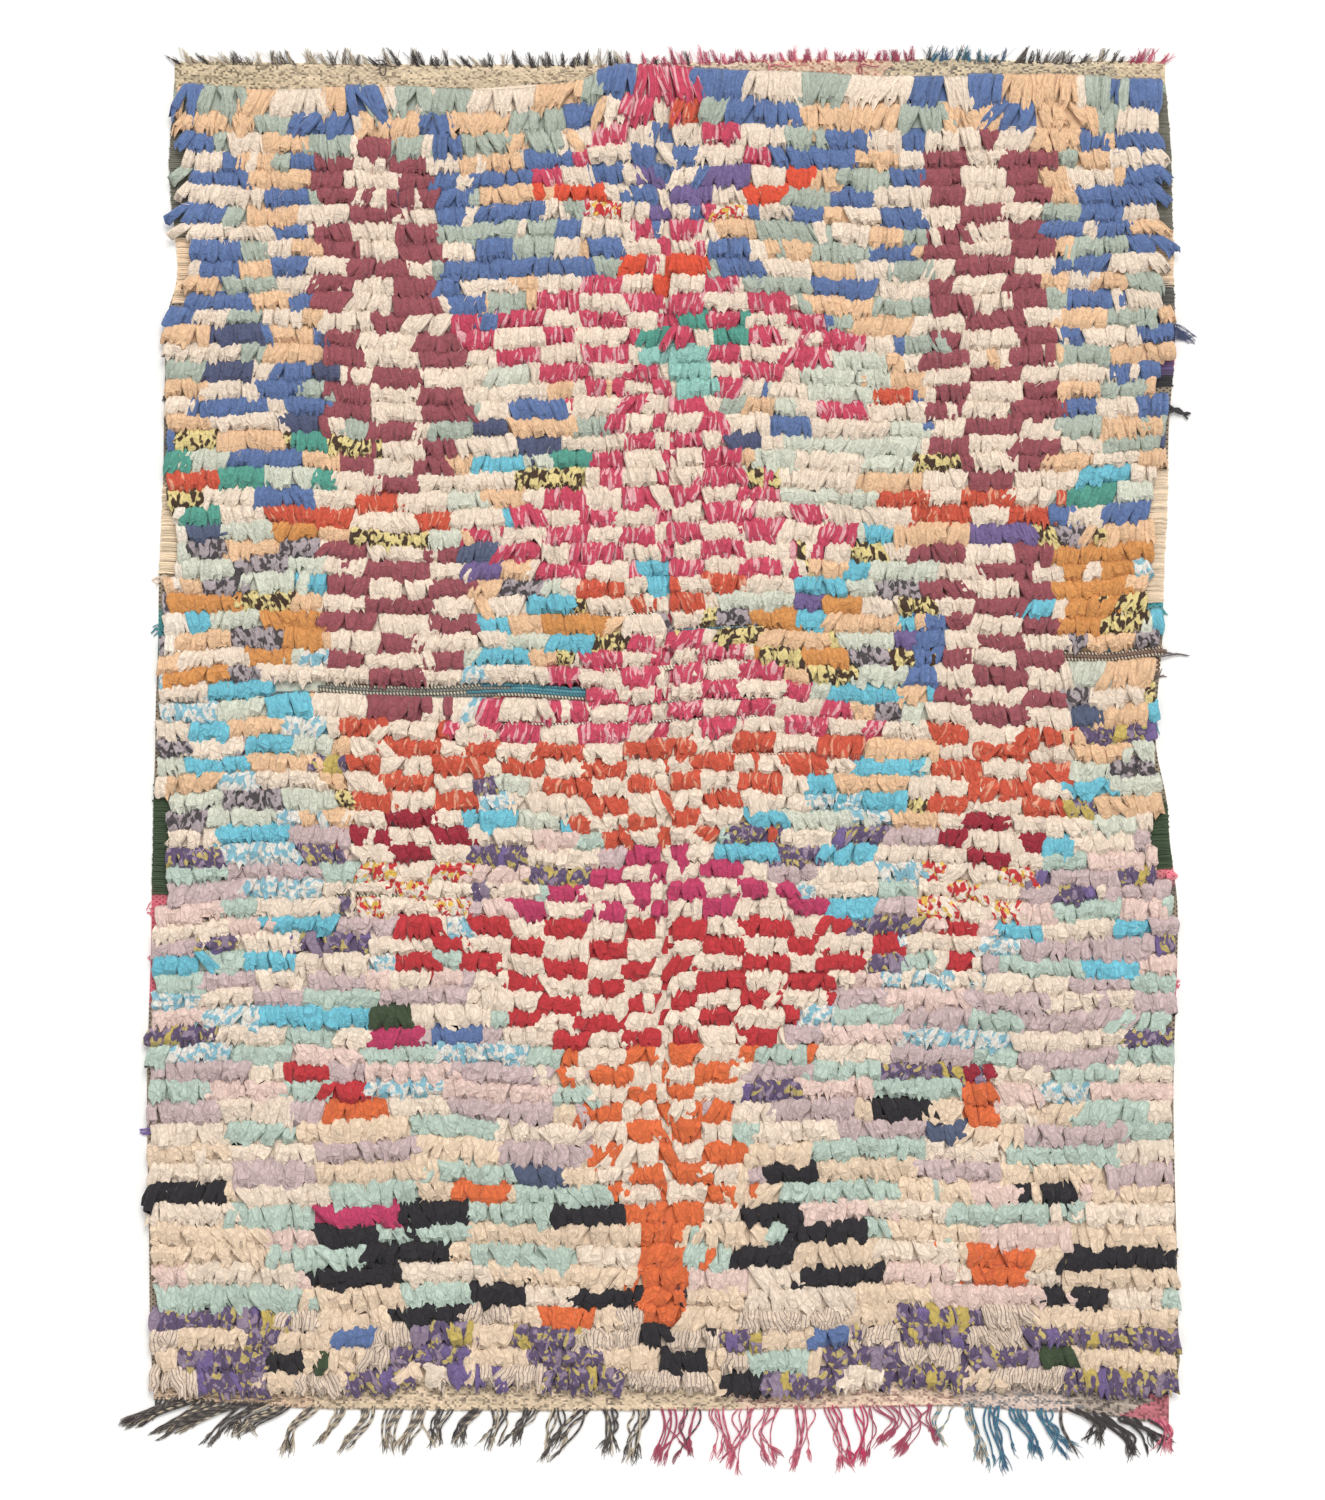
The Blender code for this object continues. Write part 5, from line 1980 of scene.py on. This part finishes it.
@dataclass
class YarnBatch:
    """Gathers tubes of yarn and turns them into one piece."""

    name: str
    points: list[np.ndarray] = field(default_factory=list)
    faces: list[np.ndarray] = field(default_factory=list)
    dyes: list[np.ndarray] = field(default_factory=list)
    other_dyes: list[np.ndarray] = field(default_factory=list)
    places: list[np.ndarray] = field(default_factory=list)
    count: int = 0

    def add(
        self, paths: np.ndarray, radii: np.ndarray, dyes: np.ndarray, sides: int = 4,
        other_dyes: np.ndarray | None = None,
    ) -> None:
        """Adds tubes.

        Args:
            paths: tubes by rings by 3.
            radii: radius at each ring of each tube.
            dyes: one linear colour for each tube.
            sides: points of each ring.
            other_dyes: the second ply's colour for each tube, if it has one.
        """
        tubes, rings = paths.shape[:2]
        made = yarn_points(paths, radii, sides)
        made[..., 2] = np.maximum(made[..., 2], 0.0002)
        self.points.append(made.reshape(-1, 3))
        self.faces += [group + self.count for group in tube_faces(tubes, rings, sides)]
        second = dyes if other_dyes is None else other_dyes
        self.dyes.append(np.repeat(dyes, rings * sides, axis=0))
        self.other_dyes.append(np.repeat(second, rings * sides, axis=0))
        self.places += self._places(paths, sides)
        self.count += tubes * rings * sides

    @staticmethod
    def _places(paths: np.ndarray, sides: int) -> list[np.ndarray]:
        """Places on the tubes: U round them from 0 to 1, V along them in metres.

        Args:
            paths: tubes by rings by 3.
            sides: points of each ring.

        Returns:
            U and V for the corners of the walls, and of the ends.
        """
        tubes, rings = paths.shape[:2]
        steps = np.linalg.norm(np.diff(paths, axis=1), axis=-1)
        along = np.concatenate([np.zeros((tubes, 1)), np.cumsum(steps, axis=1)], axis=1)
        low, high = along[:, :-1, None], along[:, 1:, None]
        side = np.arange(sides)[None, None]
        walls = np.empty((tubes, rings - 1, sides, 4, 2))
        for corner, (turn, v) in enumerate(((0, low), (1, low), (1, high), (0, high))):
            walls[..., corner, 0] = (side + turn) / sides
            walls[..., corner, 1] = v
        return [walls.reshape(-1, 2), np.zeros((tubes * 2 * sides, 2))]

    def finish(self, material: bpy.types.Material, slot: str) -> bpy.types.Object:
        """Makes the piece.

        Args:
            material: its material.
            slot: not used.

        Returns:
            The object.
        """
        piece = new_piece(self.name, np.concatenate(self.points), self.faces)
        add_colors(piece, "dye", np.concatenate(self.dyes))
        add_colors(piece, "other_dye", np.concatenate(self.other_dyes))
        add_map(piece, "yarn", np.concatenate(self.places))
        piece.data.materials.append(material)
        smooth(piece, 60.0)
        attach(piece, BODY)
        LOG.info("%s: %d faces", self.name, len(piece.data.polygons))
        return piece


@dataclass
class TopFringe:
    """Short frayed warp ends along the top: loose fibres, curls and a few thread loops."""

    shaders: ClothShaders
    tufts: int = 122
    fibres: int = 12
    fibre_radius: float = 0.00050
    rings: int = 4
    loop_rings: int = 34
    loop_radius: float = 0.0009
    loops: tuple = ((0.170, 0.050, PINK), (0.310, 0.040, ROSE), (-0.430, 0.026, INK))

    def build(self) -> bpy.types.Object:
        """Makes and dresses the fringe.

        The fibres of a tuft run together: each starts at its own place along the edge and its
        sideways share grows as t^0.8 towards the tuft's tip.

        Returns:
            The piece.
        """
        rng = chance(30)
        batch = YarnBatch("warp_ends_top")
        x = np.linspace(-0.742, 0.770, self.tufts) + rng.normal(0.0, 0.0042, self.tufts)
        starts = [b.x for b in TOP_FRINGE]
        reach = eased(x, starts, [b.reach for b in TOP_FRINGE])
        reach = reach * rng.uniform(0.40, 1.15, self.tufts)
        sweep = eased(x, starts, [b.sweep for b in TOP_FRINGE])
        sweep = sweep + rng.normal(0.0, 0.0055, self.tufts)
        tuft = np.repeat(np.arange(self.tufts), self.fibres)
        number = len(tuft)
        loose = rng.random(number) < 0.25
        length = reach[tuft] * rng.uniform(0.50, 1.02, number)
        root_x = x[tuft] + rng.normal(0.0, 0.0028, number)
        tip_x = x[tuft] + sweep[tuft] * length / reach[tuft]
        tip_x = tip_x + rng.normal(0.0, 1.0, number) * np.where(loose, 0.0075, 0.0016)
        share = spread(self.rings)
        paths = np.empty((number, self.rings, 3))
        curl = rng.normal(0.0, 0.0017, (number, 1)) * np.sin(np.pi * share * 1.5)
        paths[..., 0] = root_x[:, None] + (tip_x - root_x)[:, None] * share**0.8 + curl
        paths[..., 1] = end_edge(Side.HIGH, root_x)[:, None] - 0.004
        paths[..., 1] += (length[:, None] + 0.004) * share
        rise = rng.uniform(0.0006, 0.0042, number)[:, None]
        paths[..., 2] = 0.0030 * (1.0 - share) + rise * np.sin(np.pi * share) + 0.0008
        radii = self.fibre_radius * rng.uniform(0.8, 1.9, number)[:, None] * (1.15 - 0.75 * share)
        turn = rng.integers(0, 12, self.tufts)[tuft]
        turn = np.where(rng.random(number) < 0.30, rng.integers(0, 12, number), turn)
        batch.add(paths, radii, band_dyes(TOP_FRINGE, band_of(TOP_FRINGE, x)[tuft], turn), 3)
        self._add_loops(batch, rng)
        piece = batch.finish(YarnFinish("warp_yarn_top").material(self.shaders), "warp_ends_top")
        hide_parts("fringe_top")
        return piece

    def _add_loops(self, batch: YarnBatch, rng: np.random.Generator) -> None:
        """Adds a few loose threads that curl over the woven end.

        Args:
            batch: the yarns so far.
            rng: the source of chance.
        """
        share = spread(self.loop_rings)[0]
        for middle, wide, dye in self.loops:
            path = np.empty((1, self.loop_rings, 3))
            path[0, :, 0] = middle + wide * (share - 0.5) + 0.010 * np.sin(7.0 * share)
            path[0, :, 1] = 1.083 - 0.016 * np.sin(np.pi * share) + 0.007 * np.sin(11.0 * share)
            path[0, :, 2] = 0.0066 + 0.001 * rng.random()
            radii = np.full(path.shape[:2], self.loop_radius)
            batch.add(path, radii, np.array([linear(dye)]), 5)


@dataclass
class BottomFringe:
    """Plied warp ends along the bottom, gathered in bunches that end in frayed tips."""

    shaders: ClothShaders
    bunches: int = 42
    yarns: int = 6
    yarn_rings: int = 12
    yarn_radius: float = 0.0018
    turn_length: float = 0.016
    fray_fibres: int = 7
    fray_length: float = 0.026
    fray_rings: int = 4
    root_limits: tuple[float, float] = (-0.780, 0.772)
    tip_limits: tuple[float, float] = (-0.816, 0.800)

    def build(self) -> bpy.types.Object:
        """Makes and dresses the fringe.

        Returns:
            The piece.
        """
        rng = chance(31)
        batch = YarnBatch("warp_ends_bottom")
        roots, bunch = self._roots(rng)
        paths, band = self._paths(rng, roots, bunch)
        number = len(roots)
        radii = self.yarn_radius * (1.0 + 0.12 * rng.normal(size=(number, 1)))
        radii = radii * (1.0 - 0.45 * spread(self.yarn_rings)**3)
        radii = radii * np.array([b.stout for b in BOTTOM_FRINGE])[band][:, None]
        turn = np.where(rng.random(number) < 0.5, 0, rng.integers(0, 6, number))
        dyes, others = (band_dyes(BOTTOM_FRINGE, band, turn + ply) for ply in (0, 1))
        batch.add(paths, radii, dyes, 6, others)
        self._fray(batch, rng, paths, band, turn)
        finish = YarnFinish("warp_yarn_bottom", turn=self.turn_length).material(self.shaders)
        piece = batch.finish(finish, "warp_ends_bottom")
        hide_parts("fringe_bottom")
        return piece

    def _roots(self, rng: np.random.Generator) -> tuple[np.ndarray, np.ndarray]:
        """Where the yarns leave the cloth.

        Args:
            rng: the source of chance.

        Returns:
            X of each yarn's root, and the number of its bunch.
        """
        middle = np.interp(spread(self.bunches)[0], (0.0, 0.21, 1.0), (-0.770, -0.600, 0.762))
        middle = middle + rng.normal(0.0, 0.004, self.bunches)
        bunch = np.repeat(np.arange(self.bunches), self.yarns)
        number = len(bunch)
        across = np.tile(np.linspace(-1.0, 1.0, self.yarns), self.bunches)
        x = middle[bunch] + 0.0100 * across + rng.normal(0.0, 0.0032, number)
        swapped = rng.random(number) < 0.10
        step = rng.choice([-1, 1], number)
        bunch = np.where(swapped, np.clip(bunch + step, 0, self.bunches - 1), bunch)
        return np.clip(x, *self.root_limits), bunch

    def _paths(
        self, rng: np.random.Generator, x: np.ndarray, bunch: np.ndarray
    ) -> tuple[np.ndarray, np.ndarray]:
        """The routes of the yarns.

        A yarn runs from its root to its bunch's tip. Its sideways share eases in as
        3t^2 - 2t^3, a slow wave bends it, and it rests on the floor beyond the cloth's edge.

        Args:
            rng: the source of chance.
            x: the roots.
            bunch: each yarn's bunch.

        Returns:
            The paths, and each yarn's band of the fringe.
        """
        number = len(x)
        starts = [b.x for b in BOTTOM_FRINGE]
        middle = np.array([x[bunch == b].mean() for b in range(self.bunches)])
        reach = eased(middle, starts, [b.reach for b in BOTTOM_FRINGE])
        reach = reach * rng.uniform(0.55, 1.10, self.bunches)
        sweep = eased(middle, starts, [b.sweep for b in BOTTOM_FRINGE])
        sweep = sweep + rng.normal(0.0, 0.0095, self.bunches)
        apart = 0.55 * (x - middle[bunch])
        tip_x = (middle + sweep)[bunch] + apart + rng.normal(0.0, 0.0026, number)
        tip_x = np.clip(tip_x, *self.tip_limits)
        length = reach[bunch] * rng.uniform(0.84, 1.04, number) - self.fray_length * 0.6
        share = spread(self.yarn_rings)
        limp = eased(middle, (-0.2, 0.1), (1.0, 1.9))
        bend = (limp * rng.normal(0.0, 0.0055, self.bunches))[bunch, None]
        wave = bend * np.sin(np.pi * share)
        bend = (limp[bunch] * rng.normal(0.0, 0.0020, number))[:, None]
        wave = wave + bend * np.sin((2.2 + rng.uniform(-0.5, 0.9, (number, 1))) * np.pi * share)
        paths = np.empty((number, self.yarn_rings, 3))
        paths[..., 0] = x[:, None] + (tip_x - x)[:, None] * share * share * (3.0 - 2.0 * share)
        paths[..., 0] += wave
        paths[..., 1] = end_edge(Side.LOW, x)[:, None] + 0.005 - (length[:, None] + 0.005) * share
        layer = 0.0011 * (np.arange(number) % 3)[:, None] * np.sin(np.pi * share) ** 0.7
        paths[..., 2] = 0.0022 + 0.0009 * (1.0 - share) + layer
        return paths, band_of(BOTTOM_FRINGE, x)

    def _fray(
        self, batch: YarnBatch, rng: np.random.Generator, paths: np.ndarray, band: np.ndarray,
        turn: np.ndarray,
    ) -> None:
        """Adds the loose fibres at the yarns' tips.

        Args:
            batch: the yarns so far.
            rng: the source of chance.
            paths: the yarns' routes.
            band: each yarn's band of the fringe.
            turn: which dye each yarn starts with.
        """
        yarn = np.repeat(np.arange(len(paths)), self.fray_fibres)
        number, share = len(yarn), spread(self.fray_rings)
        tip = paths[yarn, -2]
        run = tip - paths[yarn, -4]
        run /= np.linalg.norm(run, axis=-1, keepdims=True)
        length = self.fray_length * rng.uniform(0.45, 1.15, number)
        aside = rng.normal(0.0, 0.0026, number)
        bend = rng.normal(0.0, 0.0022, number)
        fibres = tip[:, None] + run[:, None] * (length[:, None] * share)[..., None]
        fibres[..., 0] += aside[:, None] * share**1.2 + bend[:, None] * np.sin(np.pi * share)
        fibres[..., 2] = 0.0018 + 0.0012 * rng.random((number, 1)) * np.sin(np.pi * share)
        radii = 0.00080 * rng.uniform(0.7, 1.5, number)[:, None] * (1.1 - 0.7 * share)
        turn = turn[yarn] + rng.integers(0, 2, number)
        batch.add(fibres, radii, band_dyes(BOTTOM_FRINGE, band[yarn], turn), 3)


@dataclass(frozen=True)
class LooseEnd:
    """A loose end at the side: its place, reach, sweep, thickness, number of threads and dye."""

    side: Side
    y: float
    reach: float
    sweep: float
    radius: float
    threads: int
    dye: Color


LOOSE_ENDS = tuple(LooseEnd(*one) for one in (
    (Side.LOW, 0.283, 0.013, -0.004, 0.0008, 9, (222, 200, 176)),
    (Side.LOW, 0.200, 0.012, 0.003, 0.0012, 5, (62, 128, 138)),
    (Side.LOW, 0.660, 0.008, 0.002, 0.0008, 10, (78, 84, 118)),
    (Side.LOW, 0.560, 0.004, 0.000, 0.0010, 7, (50, 48, 52)),
    (Side.LOW, -0.230, 0.009, -0.004, 0.0011, 6, (206, 92, 112)),
    (Side.LOW, -0.300, 0.006, -0.002, 0.0011, 5, (206, 92, 112)),
    (Side.LOW, -0.571, 0.012, -0.003, 0.0016, 4, (120, 96, 160)),
    (Side.HIGH, 0.676, 0.034, -0.022, 0.0006, 16, (70, 78, 112)),
    (Side.HIGH, 0.660, 0.030, -0.006, 0.0006, 14, (70, 78, 112)),
    (Side.HIGH, 0.548, 0.032, -0.012, 0.0028, 3, (50, 48, 52)),
    (Side.HIGH, 0.163, 0.044, 0.001, 0.0017, 2, (104, 96, 98)),
    (Side.HIGH, 0.134, 0.012, 0.002, 0.0012, 4, (92, 80, 76)),
    (Side.HIGH, 0.230, 0.008, -0.001, 0.0012, 5, (70, 150, 158)),
    (Side.HIGH, 0.050, 0.007, -0.003, 0.0010, 6, (110, 170, 186)),
    (Side.HIGH, -0.176, 0.007, -0.002, 0.0014, 6, (226, 120, 136)),
    (Side.HIGH, -0.345, 0.006, -0.002, 0.0011, 6, (210, 84, 110)),
))


@dataclass
class SideEnds:
    """Threads and strips that stick out of the side edges."""

    shaders: ClothShaders
    rings: int = 9
    inset: float = 0.012

    def build(self) -> bpy.types.Object:
        """Makes and dresses the loose ends, which start at the inset within the edge.

        Returns:
            The piece.
        """
        rng = chance(32)
        batch = YarnBatch("loose_side_ends")
        share = spread(self.rings)
        for end in LOOSE_ENDS:
            number = end.threads
            y = end.y + rng.normal(0.0, 0.0035, (number, 1))
            root = side_edge(end.side, y) - end.side.value * self.inset
            length = (end.reach + self.inset) * rng.uniform(0.6, 1.0, (number, 1))
            length[0] = end.reach + self.inset
            curl = rng.normal(0.0, 0.003, (number, 1)) * np.sin(2.4 * np.pi * share)
            paths = np.empty((number, self.rings, 3))
            paths[..., 0] = root + end.side.value * length * share
            paths[..., 1] = y + end.sweep * share**1.5 + curl
            paths[..., 2] = 0.0085 * (1.0 - share) ** 2 + end.radius + 0.0006
            radii = np.full((number, self.rings), end.radius) * (1.0 - 0.5 * share**3)
            radii = radii * (1.0 + 0.15 * rng.normal(size=radii.shape))
            dyes = np.repeat([linear(end.dye)], number, axis=0)
            batch.add(paths, radii, dyes, 5)
        return batch.finish(YarnFinish("side_threads").material(self.shaders), "rag_pile")


@dataclass
class SelvageWraps:
    """Weft turned round the outer warps where a selvage is bare, one yarn over another."""

    shaders: ClothShaders
    pitch: float = 0.0031
    radius: float = 0.0019
    rings: int = 6

    def build(self) -> bpy.types.Object:
        """Makes and dresses the wraps.

        Each wrap crosses the selvage. Its height is radius + rise * |sin(2 pi t)|, where t is
        the share of the way across, so that it swells over two groups of warps.

        Returns:
            The piece.
        """
        rng = chance(33)
        batch = YarnBatch("selvage_wraps")
        share = spread(self.rings)
        for stretch in SELVAGES:
            if not stretch.is_bare:
                continue
            y = np.arange(stretch.bottom - 0.004, stretch.top + 0.004, self.pitch)[:, None]
            number = len(y)
            y = y + rng.normal(0.0, 0.0004, (number, 1))
            edge = side_edge(stretch.side, y) + rng.normal(0.0, 0.0007, (number, 1))
            paths = np.empty((number, self.rings, 3))
            paths[..., 0] = edge - stretch.side.value * (SELVAGE + 0.006) * share
            slant = rng.normal(0.0, 0.0006, (number, 1))
            paths[..., 1] = y + slant * share + 0.0006 * np.sin(6.0 * share)
            swell = np.abs(np.sin(2.0 * np.pi * share))
            paths[..., 2] = 0.0030 + 0.0026 * swell + rng.normal(0.0, 0.0002, (number, 1))
            radii = np.full((number, self.rings), self.radius)
            dyes = np.repeat([linear(stretch.weft)], number, axis=0)
            dyes[:, :3] *= rng.uniform(0.72, 1.15, (number, 1))
            batch.add(paths, radii, dyes, 5)
        return batch.finish(YarnFinish("selvage_yarn").material(self.shaders), "rag_pile")


@dataclass
class WeftRuns:
    """Yarns of the ground's weft that show between two rows, their plies as dots."""

    pile: RagPile
    shaders: ClothShaders
    step: float = 0.014
    turn_length: float = 0.0052

    def build(self) -> bpy.types.Object:
        """Makes and dresses the yarns.

        Each follows its row's root line and sinks at both ends.

        Returns:
            The piece.
        """
        rng = chance(35)
        batch = YarnBatch("weft_runs")
        for run in WEFT_RUNS:
            left, right = (CREASE_X + KNOT_PITCH * knot for knot in (run.left, run.right))
            rings = int((right - left) / self.step) + 4
            x = np.linspace(left, right, rings)
            paths = np.empty((1, rings, 3))
            paths[0, :, 0] = x
            line = self.pile.root_lines(x, np.full(rings, run.row))
            paths[0, :, 1] = line - run.drop + rng.normal(0.0, 0.0003, rings)
            ends = eased(spread(rings)[0], (0.0, 0.06, 0.94, 1.0), (0.5, 1, 1, 0.5))
            paths[0, :, 2] = (run.level + rng.normal(0.0, 0.0004, rings)) * ends
            radii = np.full((1, rings), run.radius)
            dye, other = np.array([linear(run.dye)]), np.array([linear(run.other)])
            batch.add(paths, radii, dye, 6, other)
        finish = YarnFinish("weft_yarn", turn=self.turn_length).material(self.shaders)
        return batch.finish(finish, "rag_pile")


@dataclass
class LooseThreads:
    """Fine threads that have frayed out of the strips and lie over the pile."""

    pile: RagPile
    shaders: ClothShaders
    threads: int = 3000
    rings: int = 4
    radius: float = 0.00036

    def build(self) -> bpy.types.Object:
        """Makes and dresses the threads.

        A thread starts near its strip's tip and runs on down the rug, more or less aslant, or
        now and then up it.

        Returns:
            The piece.
        """
        rng = chance(34)
        strip = rng.choice(len(self.pile.x), self.threads, replace=False)
        ring = rng.choice([2, 3, 4], self.threads, p=[0.25, 0.35, 0.40])
        start = self.pile.points[strip, ring, 2]
        share = spread(self.rings)
        length = rng.uniform(0.006, 0.019, self.threads)
        heading = rng.normal(-90.0, 42.0, self.threads)
        heading = np.where(rng.random(self.threads) < 0.16, heading + 180.0, heading)
        heading = np.radians(heading)
        bend = rng.normal(0.0, 0.0022, (self.threads, 1)) * np.sin(np.pi * share)
        paths = np.empty((self.threads, self.rings, 3))
        paths[..., 0] = start[:, :1] + length[:, None] * np.cos(heading)[:, None] * share
        paths[..., 0] += bend * np.sin(heading)[:, None]
        paths[..., 1] = start[:, 1:2] + length[:, None] * np.sin(heading)[:, None] * share
        paths[..., 1] += bend * np.cos(heading)[:, None]
        level = PILE_HEIGHT * 1.06 - start[:, 2:3]
        paths[..., 2] = start[:, 2:3] - 0.0004 + level * np.sin(0.75 * np.pi * share)
        radii = self.radius * rng.uniform(0.7, 1.5, (self.threads, 1)) * (1.1 - 0.6 * share)
        dyes = np.array([linear(c.second if c.print_kind is Print.STREAKED else c.dye)
                         for c in CLOTHS])
        batch = YarnBatch("loose_threads")
        batch.add(paths, radii, dyes[self.pile.cloth[strip]], 3)
        return batch.finish(YarnFinish("loose_thread").material(self.shaders), "rag_pile")


# The studio


@dataclass
class Studio:
    """A pale floor, soft light from the top of the view, and a camera straight above."""

    view_size: tuple[float, float] = (2.054, 2.325)
    view_middle: tuple[float, float] = (0.0016, 0.0163)
    lens: float = 100.0
    film: float = 36.0

    def build(self) -> None:
        """Makes the floor, the lights and the camera."""
        self._floor()
        self._light()
        self._camera()
        bpy.context.scene.view_settings.view_transform = "Standard"

    def _floor(self) -> None:
        """A wide plain floor at Z = 0."""
        bpy.ops.mesh.primitive_plane_add(size=60.0, location=(0.0, 0.0, 0.0))
        floor = bpy.context.object
        floor.name = "studio_floor"
        material = bpy.data.materials.new("studio_floor")
        material.use_nodes = True
        shader = material.node_tree.nodes["Principled BSDF"]
        shader.inputs["Base Color"].default_value = (0.985, 0.985, 0.985, 1.0)
        shader.inputs["Roughness"].default_value = 0.9
        shader.inputs["Specular IOR Level"].default_value = 0.1
        floor.data.materials.append(material)
        floor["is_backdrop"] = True

    def _light(self) -> None:
        """A broad key light from +Y and an even surrounding light."""
        world = bpy.data.worlds.new("studio")
        bpy.context.scene.world = world
        world.use_nodes = True
        back = world.node_tree.nodes["Background"]
        back.inputs["Color"].default_value = (1.0, 0.985, 0.965, 1.0)
        back.inputs["Strength"].default_value = 0.72
        key = bpy.data.lights.new("key", "SUN")
        key.energy = 1.85
        key.angle = np.radians(30.0)
        key.color = (1.0, 0.985, 0.96)
        lamp = bpy.data.objects.new("key", key)
        lamp.rotation_euler = (np.radians(-42.0), 0.0, np.radians(-12.0))
        bpy.context.scene.collection.objects.link(lamp)

    def _camera(self) -> None:
        """A camera that looks straight down on the rug, with the fringe ends up and down."""
        camera = bpy.data.cameras.new("camera")
        camera.sensor_fit = "VERTICAL"
        camera.sensor_height = self.film
        camera.lens = self.lens
        camera.clip_end = 50.0
        distance = self.view_size[1] * self.lens / self.film
        stand = bpy.data.objects.new("camera", camera)
        x = self.view_middle[0] + CLOTH_MIDDLE[0]
        y = self.view_middle[1] + CLOTH_MIDDLE[1]
        stand.location = (x, y, distance)
        bpy.context.scene.collection.objects.link(stand)
        bpy.context.scene.camera = stand


def corners() -> list[list[float]]:
    """The object's box as plain lists."""
    return [[float(value) for value in corner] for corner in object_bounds()]


def main() -> None:
    """Builds the rug piece by piece, then the studio."""
    logging.basicConfig(level=logging.INFO, format="%(name)s: %(message)s")
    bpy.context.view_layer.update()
    Studio().build()
    shaders = ClothShaders()
    shaders.build()
    chart = Chart()
    strips = RagPile(chart, shaders)
    pile = [PileRoots(chart, shaders).build(), *strips.build()]
    ground, ends = GroundCloth(chart, shaders).build()
    top = TopFringe(shaders).build()
    bottom = BottomFringe(shaders).build()
    sides = [SideEnds(shaders).build(), SelvageWraps(shaders).build()]
    threads = [WeftRuns(strips, shaders).build(), LooseThreads(strips, shaders).build()]


if __name__ == "__main__":
    main()
